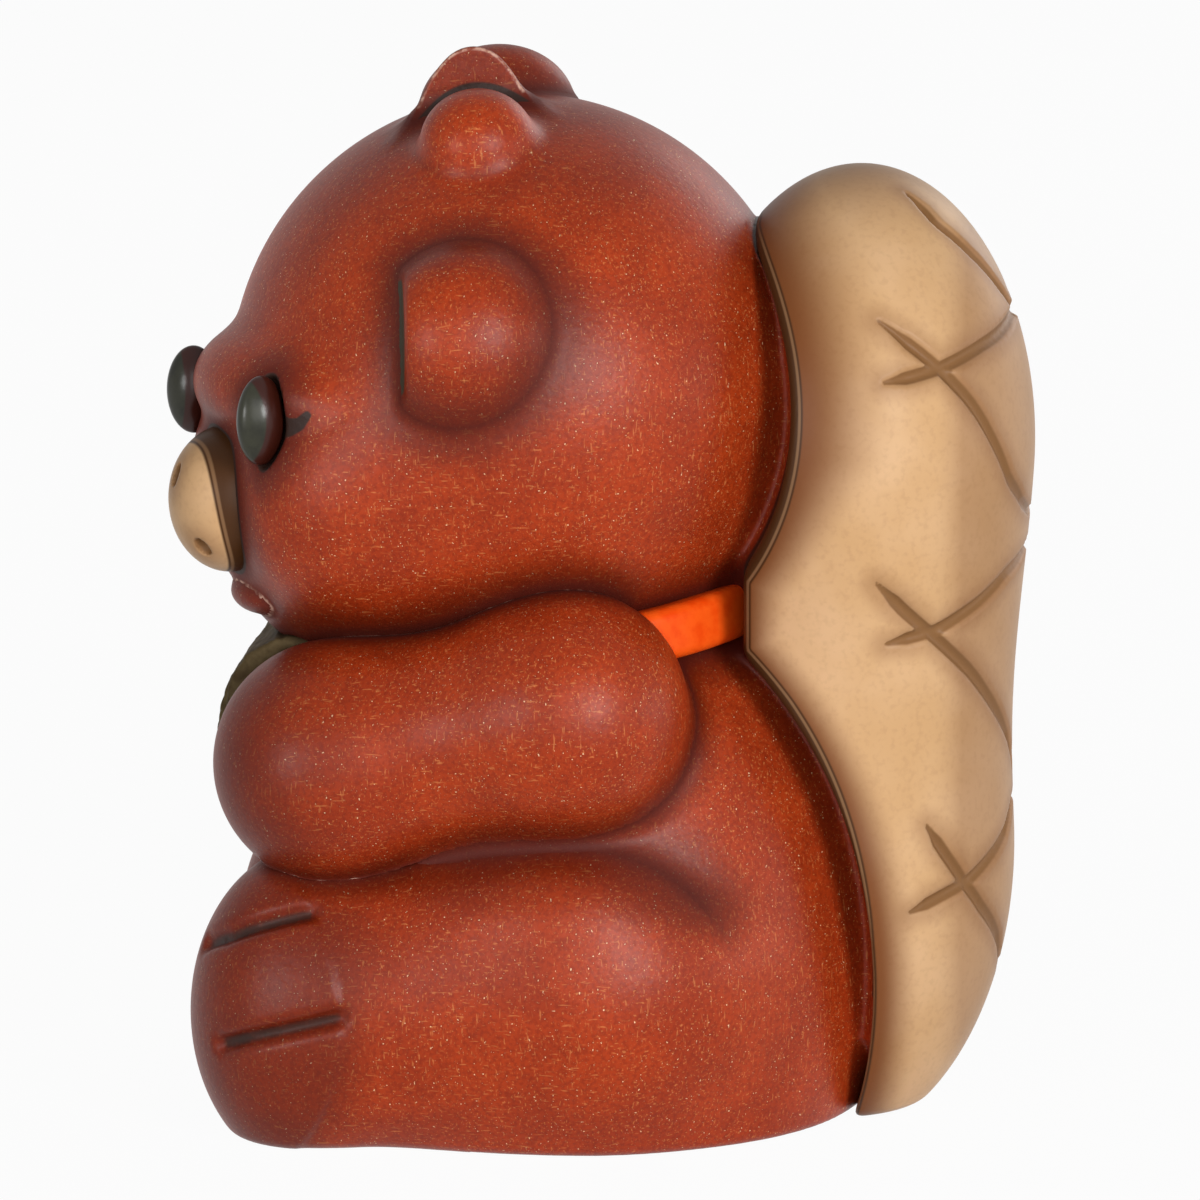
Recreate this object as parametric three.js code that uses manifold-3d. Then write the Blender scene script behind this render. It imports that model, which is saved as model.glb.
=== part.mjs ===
// A seated beaver figurine in glazed ceramic, about 96 mm tall.
//
// It is put together the way a studio figure is. The torso, head and tail are hollow castings with
// air ways between them, and the limbs, ears, tuft, face and log are pressed solid. Each piece is
// trimmed to the ones before it and stuck on with slip, which leaves a thin luting gap all round.
//
// Frame: millimetres, +Z up. The beaver looks towards -Y, its left is +X, and the origin lies on
// the flat underside. The head is turned to its left.

import * as THREE from "three";
import { mergeVertices } from "three/addons/utils/BufferGeometryUtils.js";
import Module from "manifold-3d";

const wasm = await Module();
wasm.setup();

// Casting and sticking up
const lutingGap = 0.3;
const castWall = 3.6;
const neckBoreRadius = 5.5;
const spigotWall = 2.2;
const spigotRise = 0.6;
const baseVentRadius = 1.5;
const baseVentForward = 13;
const tailVentRadius = 3;
const tailVentHeight = 19;
const tailVentReach = 31;

// Torso: an upright egg that the table cuts flat
const torsoHalfWidth = 26.5;
const torsoHalfDepth = 27.2;
const torsoHalfHeight = 36;
const torsoBellyHeight = 14;
const torsoForward = 1;

// Head: a ball with full cheeks, a small chin, a low brow and a nape, sunk on the top of the torso
const headHalfWidth = 26;
const headHalfDepth = 26.1;
const headHalfHeight = 26.2;
const headSink = 10.6;
const headForward = 6.35;
const headTurnDegrees = 26;
const cheekRadius = 12.6;
const cheekApart = 10;
const cheekForward = 16.2;
const cheekDrop = 8;
const cheekBlend = 5;
const chinHalfWidth = 8;
const chinHalfDepth = 9;
const chinHalfHeight = 8;
const chinForward = 15;
const chinDrop = 16;
const chinBlend = 5;
const browHalfWidth = 14.5;
const browHalfDepth = 10.4;
const browHalfHeight = 6.6;
const browForward = 19.5;
const browRise = 1;
const browBlend = 1.2;
const napeRadius = 9.5;
const napeHalfHeight = 7;
const napeBehind = 12;
const napeDrop = 17.5;
const napeBlend = 3;

// Face: almond eyes, each what two eggs have in common, muzzle and lower lip
const eyeEggHalfWidth = 4.2;
const eyeEggHalfDepth = 3.1;
const eyeEggHalfHeight = 5;
const eyeEggsApart = 4.6;
const eyeYawDegrees = 18.6;
const eyePitchDegrees = -0.7;
const eyeProud = 0.5;
const muzzleHalfWidth = 5.8;
const muzzleHalfDepth = 5.4;
const muzzleHalfHeight = 6.6;
const muzzlePitchDegrees = -17.7;
const muzzleSink = 1.6;
const lipHalfWidth = 4.2;
const lipHalfDepth = 2.6;
const lipHalfHeight = 1.9;
const lipPitchDegrees = -35.5;
const lipSink = 1.2;

// Ears: a dome cut off flat in front, the right one set a little further back
const earHalfWidth = 8;
const earHalfDepth = 8.8;
const earHalfHeight = 8.9;
const earYawDegrees = 58;
const earPitchDegrees = 18.5;
const earSink = 4.3;
const earCutForward = 6.2;
const earCutTurnDegrees = 14;
const rightEarSwingDegrees = 6;

// Tuft on the crown: a low mound, a pointed leaf with a flat side behind it, and a round lock
const moundHalfWidth = 5.2;
const moundHalfDepth = 5.2;
const moundHalfHeight = 5;
const moundYawDegrees = 51;
const moundPitchDegrees = 64;
const moundSink = 0.5;
const lockThickness = 3.2;
const lockEggHalfWidth = 9;
const lockEggHalfHeight = 9;
const lockEggsApart = 7.6;
const lockFlatSide = 0.3;
const lockYawDegrees = 30;
const lockPitchDegrees = 75;
const lockSink = 2.1;
const lockSpinDegrees = 21;
const farLockHalfWidth = 5;
const farLockHalfDepth = 7.4;
const farLockHalfHeight = 6.1;
const farLockYawDegrees = -92;
const farLockPitchDegrees = 76;
const farLockSink = 1.5;

// Tail: a thick paddle that stands up the back, hollowed to the head and the torso and flat between
const tailTopHalfWidth = 19;
const tailTopHalfDepth = 15.75;
const tailTopHalfHeight = 24.95;
const tailTopBehindHead = 4.75;
const tailTopBelowHead = 4.7;
const tailFootHalfWidth = 17.5;
const tailFootHalfDepth = 17;
const tailFootHalfHeight = 27.6;
const tailFootInsideTorso = 5.5;
const tailFootSink = 3.9;
const tailBlend = 14;
const tailFrontInsideHead = 4.75;

// Arms: from the shoulder forward to the paw
const shoulderRadius = 10.2;
const shoulderInset = 6;
const shoulderForward = 0.3;
const shoulderBelowCrown = 10.5;
const forearmRadius = 9.7;
const pawRadius = 10.3;
const pawInset = 9;
const pawBehindBelly = 6.5;
const pawBelowShoulder = 5.5;
const armBlend = 4;

// Legs: thigh, shin and foot in one pressing
const thighHalfWidth = 14.4;
const thighHalfDepth = 15.6;
const thighHalfHeight = 15.4;
const thighInset = 10.3;
const thighHeight = 14.6;
const shinHalfWidth = 12.4;
const shinHalfDepth = 14;
const shinHalfHeight = 14.2;
const shinForward = 12.5;
const shinHeight = 12.5;
const footHalfWidth = 10.8;
const footHalfDepth = 10.8;
const footHalfHeight = 14.6;
const footForward = 23.6;
const footHeight = 11.3;
const legSplay = 1.2;
const legBlend = 5;

// Neck scarf: a flat band in the crease under the head
const scarfRadius = 17.2;
const scarfHalfThickness = 1.8;
const scarfHalfHeight = 2.4;
const scarfAboveHeadFoot = 4.5;
const scarfBehindHead = 4.15;
const scarfTiltDegrees = 9;

// Log: held crosswise against the belly, with a gnawed stub at each end
const logRadius = 10.4;
const logHalfLength = 9;
const logBeforePaw = 1.6;
const logAbovePaw = 0.8;
const stubRadius = 6.4;
const stubLength = 4;
const stubForward = 2.6;
const stubRise = 3.2;

// Fineness of the facets
const largeFacets = 7;
const limbFacets = 5;
const featureFacets = 4;
const smallFacets = 3;
const cavityFacets = 3;
const roundSides = 36;
const boreSides = 20;
const scarfSides = 8;

const radians = THREE.MathUtils.degToRad;
const sides = [1, -1];

// Forms: a form is a function that gives the signed distance from a point to its surface

function length(x, y, z) {
  return Math.sqrt(x * x + y * y + z * z);
}

function lump(centre, radii) {
  const [rx, ry, rz] = radii;
  return (x, y, z) => {
    const px = x - centre[0];
    const py = y - centre[1];
    const pz = z - centre[2];
    const level = length(px / rx, py / ry, pz / rz);
    const slope = length(px / rx ** 2, py / ry ** 2, pz / rz ** 2);
    return slope > 0 ? (level * (level - 1)) / slope : -Math.min(rx, ry, rz);
  };
}

function bar(from, to, radius) {
  const [rx, ry, rz] = to.map((value, axis) => value - from[axis]);
  const span = length(rx, ry, rz);
  return (x, y, z) => {
    const px = x - from[0];
    const py = y - from[1];
    const pz = z - from[2];
    const share = THREE.MathUtils.clamp((px * rx + py * ry + pz * rz) / span ** 2, 0, 1);
    return length(px - share * rx, py - share * ry, pz - share * rz) - radius;
  };
}

function blend(first, second, width) {
  return (x, y, z) => {
    const a = first(x, y, z);
    const b = second(x, y, z);
    const share = THREE.MathUtils.clamp(0.5 + (0.5 * (b - a)) / width, 0, 1);
    return b + (a - b) * share - width * share * (1 - share);
  };
}

// What all the forms have in common
function overlap(...forms) {
  return (x, y, z) => Math.max(...forms.map((form) => form(x, y, z)));
}

// Solids: three.js geometry closed into a body that can be joined and cut

function welding(geometry) {
  geometry.deleteAttribute("normal");
  geometry.deleteAttribute("uv");
  return mergeVertices(geometry);
}

function solidOf(geometry) {
  const welded = welding(geometry);
  const vertProperties = new Float32Array(welded.attributes.position.array);
  const triVerts = new Uint32Array(welded.index.array);
  return new wasm.Manifold(new wasm.Mesh({ numProp: 3, vertProperties, triVerts }));
}

// A ball whose points are pushed out along their rays until they lie on a form
function skin(form, centre, facets, grow = 0) {
  const ball = welding(new THREE.IcosahedronGeometry(1, grow < 0 ? cavityFacets : facets));
  const points = ball.attributes.position;
  const start = new THREE.Vector3(...centre);
  const way = new THREE.Vector3();
  const place = new THREE.Vector3();
  const stride = 0.5;
  const halvings = 24;
  const distanceAt = (reach) => {
    place.copy(start).addScaledVector(way, reach);
    return form(place.x, place.y, place.z) - grow;
  };
  for (let index = 0; index < points.count; index += 1) {
    way.fromBufferAttribute(points, index).normalize();
    let inside = 0;
    let outside = stride;
    while (distanceAt(outside) < 0) {
      inside = outside;
      outside += stride;
    }
    for (let step = 0; step < halvings; step += 1) {
      const middle = (inside + outside) / 2;
      if (distanceAt(middle) < 0) inside = middle;
      else outside = middle;
    }
    place.copy(start).addScaledVector(way, inside);
    points.setXYZ(index, place.x, place.y, place.z);
  }
  return solidOf(ball);
}

// A round rod along X, Y or Z, with a second radius where its section is oval
function rod(axis, from, to, centre, radius, sideCount = boreSides, secondRadius = radius) {
  const geometry = new THREE.CylinderGeometry(1, 1, to - from, sideCount);
  geometry.translate(0, (from + to) / 2, 0);
  if (axis === "x") geometry.rotateZ(-Math.PI / 2).scale(1, radius, secondRadius);
  if (axis === "y") geometry.scale(radius, 1, secondRadius);
  if (axis === "z") geometry.rotateX(Math.PI / 2).scale(radius, secondRadius, 1);
  return solidOf(geometry.translate(...centre));
}

function slab(size, centre) {
  return solidOf(new THREE.BoxGeometry(...size).translate(...centre));
}

// Places that other pieces are worked out from
const farAway = 200;
const table = slab([farAway, farAway, farAway], [0, 0, -farAway / 2]);
const torsoCentre = [0, -torsoForward, torsoBellyHeight];
const torsoCrown = torsoBellyHeight + torsoHalfHeight;
const headCentre = [0, -torsoForward - headForward, torsoCrown - headSink + headHalfHeight];
const headTurn = radians(headTurnDegrees);

// Head coordinates run to the beaver's left, forward and up from the middle of the head
function fromHead(left, forward, up) {
  return [
    headCentre[0] + left * Math.cos(headTurn) + forward * Math.sin(headTurn),
    headCentre[1] + left * Math.sin(headTurn) - forward * Math.cos(headTurn),
    headCentre[2] + up,
  ];
}

function inHead(form) {
  return (x, y, z) => {
    const dx = x - headCentre[0];
    const dy = y - headCentre[1];
    const left = dx * Math.cos(headTurn) + dy * Math.sin(headTurn);
    const forward = dx * Math.sin(headTurn) - dy * Math.cos(headTurn);
    return form(left, forward, z - headCentre[2]);
  };
}

const cheeks = sides.map((side) =>
  lump([(side * cheekApart) / 2, cheekForward, -cheekDrop], [cheekRadius, cheekRadius, cheekRadius]),
);
const skull = lump([0, 0, 0], [headHalfWidth, headHalfDepth, headHalfHeight]);
const brow = lump([0, browForward, browRise], [browHalfWidth, browHalfDepth, browHalfHeight]);
const chin = lump([0, chinForward, -chinDrop], [chinHalfWidth, chinHalfDepth, chinHalfHeight]);
const nape = lump(
  [napeBehind * Math.sin(headTurn), -napeBehind * Math.cos(headTurn), -napeDrop],
  [napeRadius, napeRadius, napeHalfHeight],
);
const cheeked = cheeks.reduce((form, cheek) => blend(form, cheek, cheekBlend), skull);
const chinned = blend(cheeked, chin, chinBlend);
const headForm = blend(blend(chinned, nape, napeBlend), brow, browBlend);

// The point on the head that lies in a direction from its middle, sunk along that direction
function onHead(yawDegrees, pitchDegrees, sink) {
  const yaw = radians(yawDegrees);
  const pitch = radians(pitchDegrees);
  const way = [Math.sin(yaw) * Math.cos(pitch), Math.cos(yaw) * Math.cos(pitch), Math.sin(pitch)];
  const stride = 0.05;
  let reach = 0;
  while (headForm(way[0] * reach, way[1] * reach, way[2] * reach) < 0) reach += stride;
  return way.map((value) => value * (reach - sink));
}

// A form stuck on the head at a place in head coordinates, and spun about the upright axis
function stuckOn(place, form, facets, spinDegrees = 0) {
  const cos = Math.cos(radians(spinDegrees));
  const sin = Math.sin(radians(spinDegrees));
  const spun = (left, forward, up) => {
    const a = left - place[0];
    const b = forward - place[1];
    return form(cos * a + sin * b, cos * b - sin * a, up - place[2]);
  };
  return (grow) => skin(inHead(spun), fromHead(...place), facets, grow);
}

function egg(radii) {
  return lump([0, 0, 0], radii);
}

// Pieces: each gives its own outside, grown by a margin, and the work done on it last

function headPiece() {
  const outside = (grow) => skin(inHead(headForm), headCentre, largeFacets, grow);
  const neckHoleRadius = neckBoreRadius + spigotWall + lutingGap;
  const finish = (solid, cavity) =>
    solid.subtract(cavity).subtract(rod("z", -headHalfHeight - castWall, 0, headCentre, neckHoleRadius));
  return { name: "head_shell", glaze: "brown", outside, finish, hollow: true };
}

function torsoPiece() {
  const trunk = lump(torsoCentre, [torsoHalfWidth, torsoHalfDepth, torsoHalfHeight]);
  const outside = (grow) => {
    const raised = table.translate(0, 0, Math.max(-grow, 0));
    return skin(trunk, torsoCentre, largeFacets, grow).subtract(raised);
  };
  const headBottom = -headHalfHeight;
  const spigotOuter = neckBoreRadius + spigotWall;
  const spigot = (radius, from, to) => rod("z", from, to, headCentre, radius);
  const finish = (solid, cavity) => {
    const standing = spigot(spigotOuter, headBottom - castWall / 2, headBottom + castWall + spigotRise);
    const neckBore = spigot(neckBoreRadius, headBottom - 2 * castWall - lutingGap, 0);
    const baseVent = rod("z", -castWall, 2 * castWall, [0, -baseVentForward, 0], baseVentRadius);
    return solid.subtract(cavity).add(standing).subtract(neckBore).subtract(baseVent).subtract(tailVent());
  };
  return { name: "torso_shell", glaze: "brown", outside, finish, hollow: true };
}

// The air way from the tail through the back of the torso
function tailVent() {
  return rod("y", 0, tailVentReach, [0, 0, tailVentHeight], tailVentRadius);
}

function scarfPiece() {
  const headFoot = headCentre[2] - headHalfHeight;
  const centre = [0, headCentre[1] + scarfBehindHead, headFoot + scarfAboveHeadFoot];
  const outside = (grow) => {
    const halves = [scarfHalfThickness + grow, scarfHalfHeight + grow];
    const section = new THREE.EllipseCurve(scarfRadius, 0, ...halves);
    const ring = new THREE.LatheGeometry(section.getPoints(scarfSides), roundSides);
    ring.rotateX(Math.PI / 2 + radians(scarfTiltDegrees)).translate(...centre);
    return solidOf(ring);
  };
  return { name: "neck_scarf", glaze: "orange", outside };
}

function tailPiece() {
  const topCentre = [
    0,
    headCentre[1] + headHalfDepth + tailTopBehindHead,
    headCentre[2] - tailTopBelowHead,
  ];
  const footCentre = [
    0,
    torsoCentre[1] + torsoHalfDepth - tailFootInsideTorso,
    tailFootHalfHeight - tailFootSink,
  ];
  const top = lump(topCentre, [tailTopHalfWidth, tailTopHalfDepth, tailTopHalfHeight]);
  const foot = lump(footCentre, [tailFootHalfWidth, tailFootHalfDepth, tailFootHalfHeight]);
  const paddle = blend(top, foot, tailBlend);
  const front = headCentre[1] + headHalfDepth - tailFrontInsideHead;
  const waist = topCentre.map((value, axis) => (value + footCentre[axis]) / 2);
  const outside = (grow) => {
    const clear = lutingGap - grow;
    const reach = 2 * tailTopHalfWidth;
    const bed = (centre, halfDepth, halfHeight) =>
      rod("x", -reach, reach, centre, halfDepth + clear, roundSides, halfHeight + clear);
    const headBed = bed(headCentre, headHalfDepth, headHalfHeight);
    const torsoBed = bed(torsoCentre, torsoHalfDepth, torsoHalfHeight);
    const before = slab([farAway, farAway, farAway], [0, front - grow - farAway / 2, 0]);
    const raised = table.translate(0, 0, Math.max(-grow, 0));
    const beds = headBed.add(torsoBed).add(before).add(raised);
    return skin(paddle, waist, largeFacets, grow).subtract(beds);
  };
  const finish = (solid, cavity) => solid.subtract(cavity).subtract(tailVent());
  return { name: "tail_paddle", glaze: "tan", outside, finish, hollow: true };
}

function legPiece(side) {
  const hipX = torsoHalfWidth - thighInset;
  const hip = [side * hipX, torsoCentre[1] + torsoForward / 2, thighHeight];
  const shinAt = [side * (hipX + legSplay / 2), hip[1] - shinForward, shinHeight];
  const footAt = [side * (hipX + legSplay), hip[1] - footForward, footHeight];
  const thigh = lump(hip, [thighHalfWidth, thighHalfDepth, thighHalfHeight]);
  const shin = lump(shinAt, [shinHalfWidth, shinHalfDepth, shinHalfHeight]);
  const foot = lump(footAt, [footHalfWidth, footHalfDepth, footHalfHeight]);
  const leg = blend(blend(thigh, shin, legBlend), foot, legBlend);
  const outside = (grow) => skin(leg, shinAt, limbFacets, grow).subtract(table);
  return { name: side > 0 ? "left_leg" : "right_leg", glaze: "brown", outside };
}

function pawPlace(side) {
  return [
    side * (torsoHalfWidth - pawInset),
    torsoCentre[1] - shoulderForward - torsoHalfDepth + pawBehindBelly,
    torsoCrown - shoulderBelowCrown - pawBelowShoulder,
  ];
}

function armPiece(side) {
  const shoulder = [
    side * (torsoHalfWidth - shoulderInset),
    torsoCentre[1] - shoulderForward,
    torsoCrown - shoulderBelowCrown,
  ];
  const paw = pawPlace(side);
  const upper = lump(shoulder, [shoulderRadius, shoulderRadius, shoulderRadius]);
  const end = lump(paw, [pawRadius, pawRadius, pawRadius]);
  const arm = blend(blend(bar(shoulder, paw, forearmRadius), upper, armBlend), end, armBlend);
  const elbow = shoulder.map((value, axis) => (value + paw[axis]) / 2);
  const outside = (grow) => skin(arm, elbow, limbFacets, grow);
  return { name: side > 0 ? "left_arm" : "right_arm", glaze: "brown", outside };
}

function muzzlePiece() {
  const place = onHead(0, muzzlePitchDegrees, muzzleSink);
  const form = egg([muzzleHalfWidth, muzzleHalfDepth, muzzleHalfHeight]);
  return { name: "muzzle", glaze: "tan", outside: stuckOn(place, form, featureFacets) };
}

function lipPiece() {
  const place = onHead(0, lipPitchDegrees, lipSink);
  const form = egg([lipHalfWidth, lipHalfDepth, lipHalfHeight]);
  return { name: "lower_lip", glaze: "brown", outside: stuckOn(place, form, smallFacets) };
}

function eyePiece(side) {
  const place = onHead(side * eyeYawDegrees, eyePitchDegrees, -eyeProud);
  const radii = [eyeEggHalfWidth, eyeEggHalfDepth, eyeEggHalfHeight];
  const almond = overlap(...sides.map((end) => lump([(end * eyeEggsApart) / 2, 0, 0], radii)));
  const outside = stuckOn(place, almond, featureFacets, -side * eyeYawDegrees);
  return { name: side > 0 ? "left_eye" : "right_eye", glaze: "black", outside };
}

function earPiece(side) {
  const swing = side > 0 ? 0 : rightEarSwingDegrees;
  const place = onHead(side * (earYawDegrees + swing), earPitchDegrees, earSink);
  const form = egg([earHalfWidth, earHalfDepth, earHalfHeight]);
  const dome = stuckOn(place, form, featureFacets, -side * swing);
  const cutTurn = headTurn - side * radians(earCutTurnDegrees - swing);
  const cut = (grow) => {
    const block = new THREE.BoxGeometry(farAway, farAway, farAway);
    block.translate(0, -farAway / 2 - earCutForward - grow, 0).rotateZ(cutTurn);
    return solidOf(block.translate(...fromHead(...place)));
  };
  const outside = (grow) => dome(grow).subtract(cut(grow));
  return { name: side > 0 ? "left_ear" : "right_ear", glaze: "brown", outside };
}

function tuftPieces() {
  const moundPlace = onHead(moundYawDegrees, moundPitchDegrees, moundSink);
  const lockPlace = onHead(lockYawDegrees, lockPitchDegrees, lockSink);
  const farPlace = onHead(farLockYawDegrees, farLockPitchDegrees, farLockSink);
  const mound = egg([moundHalfWidth, moundHalfDepth, moundHalfHeight]);
  const farLock = egg([farLockHalfWidth, farLockHalfDepth, farLockHalfHeight]);
  const lockRadii = [lockThickness, lockEggHalfWidth, lockEggHalfHeight];
  const lockEggs = sides.map((end) => lump([0, (end * lockEggsApart) / 2, 0], lockRadii));
  const leaf = overlap(...lockEggs, (across) => across - lockFlatSide);
  const leafOutside = stuckOn(lockPlace, leaf, featureFacets, lockSpinDegrees);
  return [
    { name: "tuft_mound", glaze: "brown", outside: stuckOn(moundPlace, mound, smallFacets) },
    { name: "tuft_left_lock", glaze: "brown", outside: leafOutside },
    { name: "tuft_right_lock", glaze: "brown", outside: stuckOn(farPlace, farLock, smallFacets) },
  ];
}

function logPiece() {
  const paw = pawPlace(1);
  const centre = [0, paw[1] - logBeforePaw, paw[2] + logAbovePaw];
  const stubCentre = [0, centre[1] - stubForward, centre[2] + stubRise];
  const outside = (grow) => {
    const half = logHalfLength + grow;
    const stubHalf = half + stubLength;
    const trunk = rod("x", -half, half, centre, logRadius + grow, roundSides);
    return trunk.add(rod("x", -stubHalf, stubHalf, stubCentre, stubRadius + grow));
  };
  return { name: "held_log", glaze: "bark", outside };
}

const glazes = {
  brown: { color: 0x8f3a20, roughness: 0.42, metalness: 0 },
  tan: { color: 0xc8a878, roughness: 0.45, metalness: 0 },
  orange: { color: 0xe6551c, roughness: 0.45, metalness: 0 },
  black: { color: 0x24261f, roughness: 0.35, metalness: 0 },
  bark: { color: 0x5d5540, roughness: 0.5, metalness: 0 },
};

const pieces = [
  headPiece(),
  torsoPiece(),
  scarfPiece(),
  tailPiece(),
  ...sides.map(legPiece),
  ...sides.map(armPiece),
  muzzlePiece(),
  lipPiece(),
  ...sides.map(eyePiece),
  ...sides.map(earPiece),
  ...tuftPieces(),
  logPiece(),
];

// A cut can shave a flake off a piece, so only its largest body is kept
function mainBody(solid) {
  return solid.decompose().reduce((best, body) => (body.volume() > best.volume() ? body : best));
}

function meshOf(piece, solid) {
  const { vertProperties, triVerts, numProp } = solid.getMesh();
  const geometry = new THREE.BufferGeometry();
  const points = new THREE.InterleavedBuffer(vertProperties, numProp);
  geometry.setAttribute("position", new THREE.InterleavedBufferAttribute(points, 3, 0));
  geometry.setIndex(new THREE.BufferAttribute(triVerts, 1));
  geometry.computeVertexNormals();
  const mesh = new THREE.Mesh(geometry, new THREE.MeshStandardMaterial(glazes[piece.glaze]));
  mesh.name = piece.name;
  return mesh;
}

function boxesMeet(first, second) {
  const a = first.boundingBox();
  const b = second.boundingBox();
  return [0, 1, 2].every((axis) => a.min[axis] < b.max[axis] && b.min[axis] < a.max[axis]);
}

const beaver = new THREE.Group();
beaver.name = "beaver_figurine";
const earlier = [];
for (const piece of pieces) {
  const trimmed = (margin) => {
    let solid = piece.outside(-margin);
    for (const other of earlier) {
      const bed = margin > 0 ? other.outside(lutingGap + margin) : other.bed;
      if (boxesMeet(solid, bed)) solid = solid.subtract(bed);
    }
    return solid;
  };
  const body = mainBody(trimmed(0));
  const finished = piece.finish ? piece.finish(body, piece.hollow ? trimmed(castWall) : null) : body;
  beaver.add(meshOf(piece, mainBody(finished)));
  earlier.push({ outside: piece.outside, bed: piece.outside(lutingGap) });
}

export default beaver;
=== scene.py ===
# %% [markdown]
# # A glazed ceramic beaver
# The object is a seated beaver of about 96 mm, cast and pressed in clay, stuck together with slip,
# painted and glazed. Every piece of the solid model gets a finer skin here: the same forms, with the soft
# joins, carved lines and painted edges that the potter leaves. All lengths below are millimetres until a
# mesh is written, and the frame is the solid model's own: +Z up, the beaver faces -Y and its left is +X.

import math

import bpy
import numpy as np
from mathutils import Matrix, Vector


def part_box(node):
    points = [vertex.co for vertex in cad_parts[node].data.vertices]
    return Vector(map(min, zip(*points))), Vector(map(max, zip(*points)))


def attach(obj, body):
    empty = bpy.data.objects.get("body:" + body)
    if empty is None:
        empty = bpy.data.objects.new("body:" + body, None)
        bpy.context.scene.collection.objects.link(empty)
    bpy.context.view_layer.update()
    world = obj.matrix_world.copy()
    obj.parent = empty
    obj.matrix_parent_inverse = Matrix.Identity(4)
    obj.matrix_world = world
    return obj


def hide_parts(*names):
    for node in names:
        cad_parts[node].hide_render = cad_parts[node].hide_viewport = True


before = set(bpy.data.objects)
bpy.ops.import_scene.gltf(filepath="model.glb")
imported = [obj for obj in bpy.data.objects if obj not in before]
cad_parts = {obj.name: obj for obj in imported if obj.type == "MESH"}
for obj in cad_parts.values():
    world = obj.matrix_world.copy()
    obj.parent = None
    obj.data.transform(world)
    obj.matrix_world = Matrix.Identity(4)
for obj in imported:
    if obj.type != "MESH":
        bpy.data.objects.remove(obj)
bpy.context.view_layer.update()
metres = 0.001


# %% [markdown]
# ## Camera, floor and light
# The photograph is taken with a long lens from the beaver's left, a little above the middle. The lens is
# found from the size in the picture: 11 picture points to the millimetre on a frame of 1200 points, from
# 0.8 m away. A soft box behind the camera lights the figure evenly, one on either side of it draws quiet
# highlights on the satin glaze, a low one lights the back of the tail, a fifth lights the far side, and
# the pale floor and backdrop fill the shadows.

# %% Camera
camera_azimuth = math.radians(95)
camera_height_angle = math.radians(10.5)
camera_distance = 0.8
camera_target = Vector((0, 0, 0.0458))
picture_points = 1200
points_per_metre = 11040
sensor_width = 36.0

camera_data = bpy.data.cameras.new("camera")
camera_data.sensor_width = sensor_width
camera_data.lens = points_per_metre * camera_distance / picture_points * sensor_width
camera_data.clip_start = 0.01
camera_data.clip_end = 20
camera = bpy.data.objects.new("camera", camera_data)
bpy.context.scene.collection.objects.link(camera)
towards_camera = Vector((
    math.sin(camera_azimuth) * math.cos(camera_height_angle),
    -math.cos(camera_azimuth) * math.cos(camera_height_angle),
    math.sin(camera_height_angle),
))
camera.location = camera_target + towards_camera * camera_distance
camera.rotation_euler = towards_camera.to_track_quat("Z", "Y").to_euler()
bpy.context.scene.camera = camera
bpy.context.scene.view_settings.view_transform = "Standard"
print("camera lens", round(camera_data.lens, 1), "mm")


# %% Node helpers
def put(tree, target, value):
    """Give an input its value, or join it to another node's output."""
    if isinstance(value, bpy.types.NodeSocket):
        tree.links.new(value, target)
    else:
        target.default_value = value


def add_node(tree, kind, inputs=None, **settings):
    """A node with its settings, and its inputs by name or number: values or other nodes' outputs."""
    node = tree.nodes.new(kind)
    for key, value in settings.items():
        setattr(node, key, value)
    for key, value in (inputs or {}).items():
        put(tree, node.inputs[key], value)
    return node


def maths(tree, operation, first, second):
    """A maths node on two sockets or numbers, of vectors where the name starts with v_."""
    kind = "ShaderNodeVectorMath" if operation.startswith("v_") else "ShaderNodeMath"
    second_input = "Scale" if operation == "v_SCALE" else 1
    node = add_node(tree, kind, {0: first, second_input: second}, operation=operation.removeprefix("v_"))
    return node.outputs["Value"] if operation == "v_DISTANCE" else node.outputs[0]


def ramp(tree, source, start, end, low=0.0, high=1.0):
    """A share that goes from low at start to high at end, eased."""
    ends = {"Value": source, "From Min": start, "From Max": end, "To Min": low, "To Max": high}
    return add_node(tree, "ShaderNodeMapRange", ends, interpolation_type="SMOOTHSTEP").outputs[0]


def ray_share(tree):
    """1 for rays that look straight at a backdrop or see it in a gloss, 0 for rays that gather light."""
    rays = add_node(tree, "ShaderNodeLightPath").outputs
    seen = maths(tree, "MAXIMUM", rays["Is Camera Ray"], rays["Is Glossy Ray"])
    return maths(tree, "MAXIMUM", seen, rays["Is Transmission Ray"])


print("node helpers ready")

# %% Floor and backdrop
fill_strength = 0.06
floor_white = 0.96
world = bpy.data.worlds.new("studio")
bpy.context.scene.world = world
world.use_nodes = True
sky_tree = world.node_tree
sky_tree.nodes.clear()
sky_ends = {"Value": ray_share(sky_tree), "To Min": fill_strength, "To Max": 1.0}
sky_level = add_node(sky_tree, "ShaderNodeMapRange", sky_ends)
sky = add_node(sky_tree, "ShaderNodeBackground", {"Strength": sky_level.outputs[0]})
add_node(sky_tree, "ShaderNodeOutputWorld", {"Surface": sky.outputs[0]})

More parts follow.
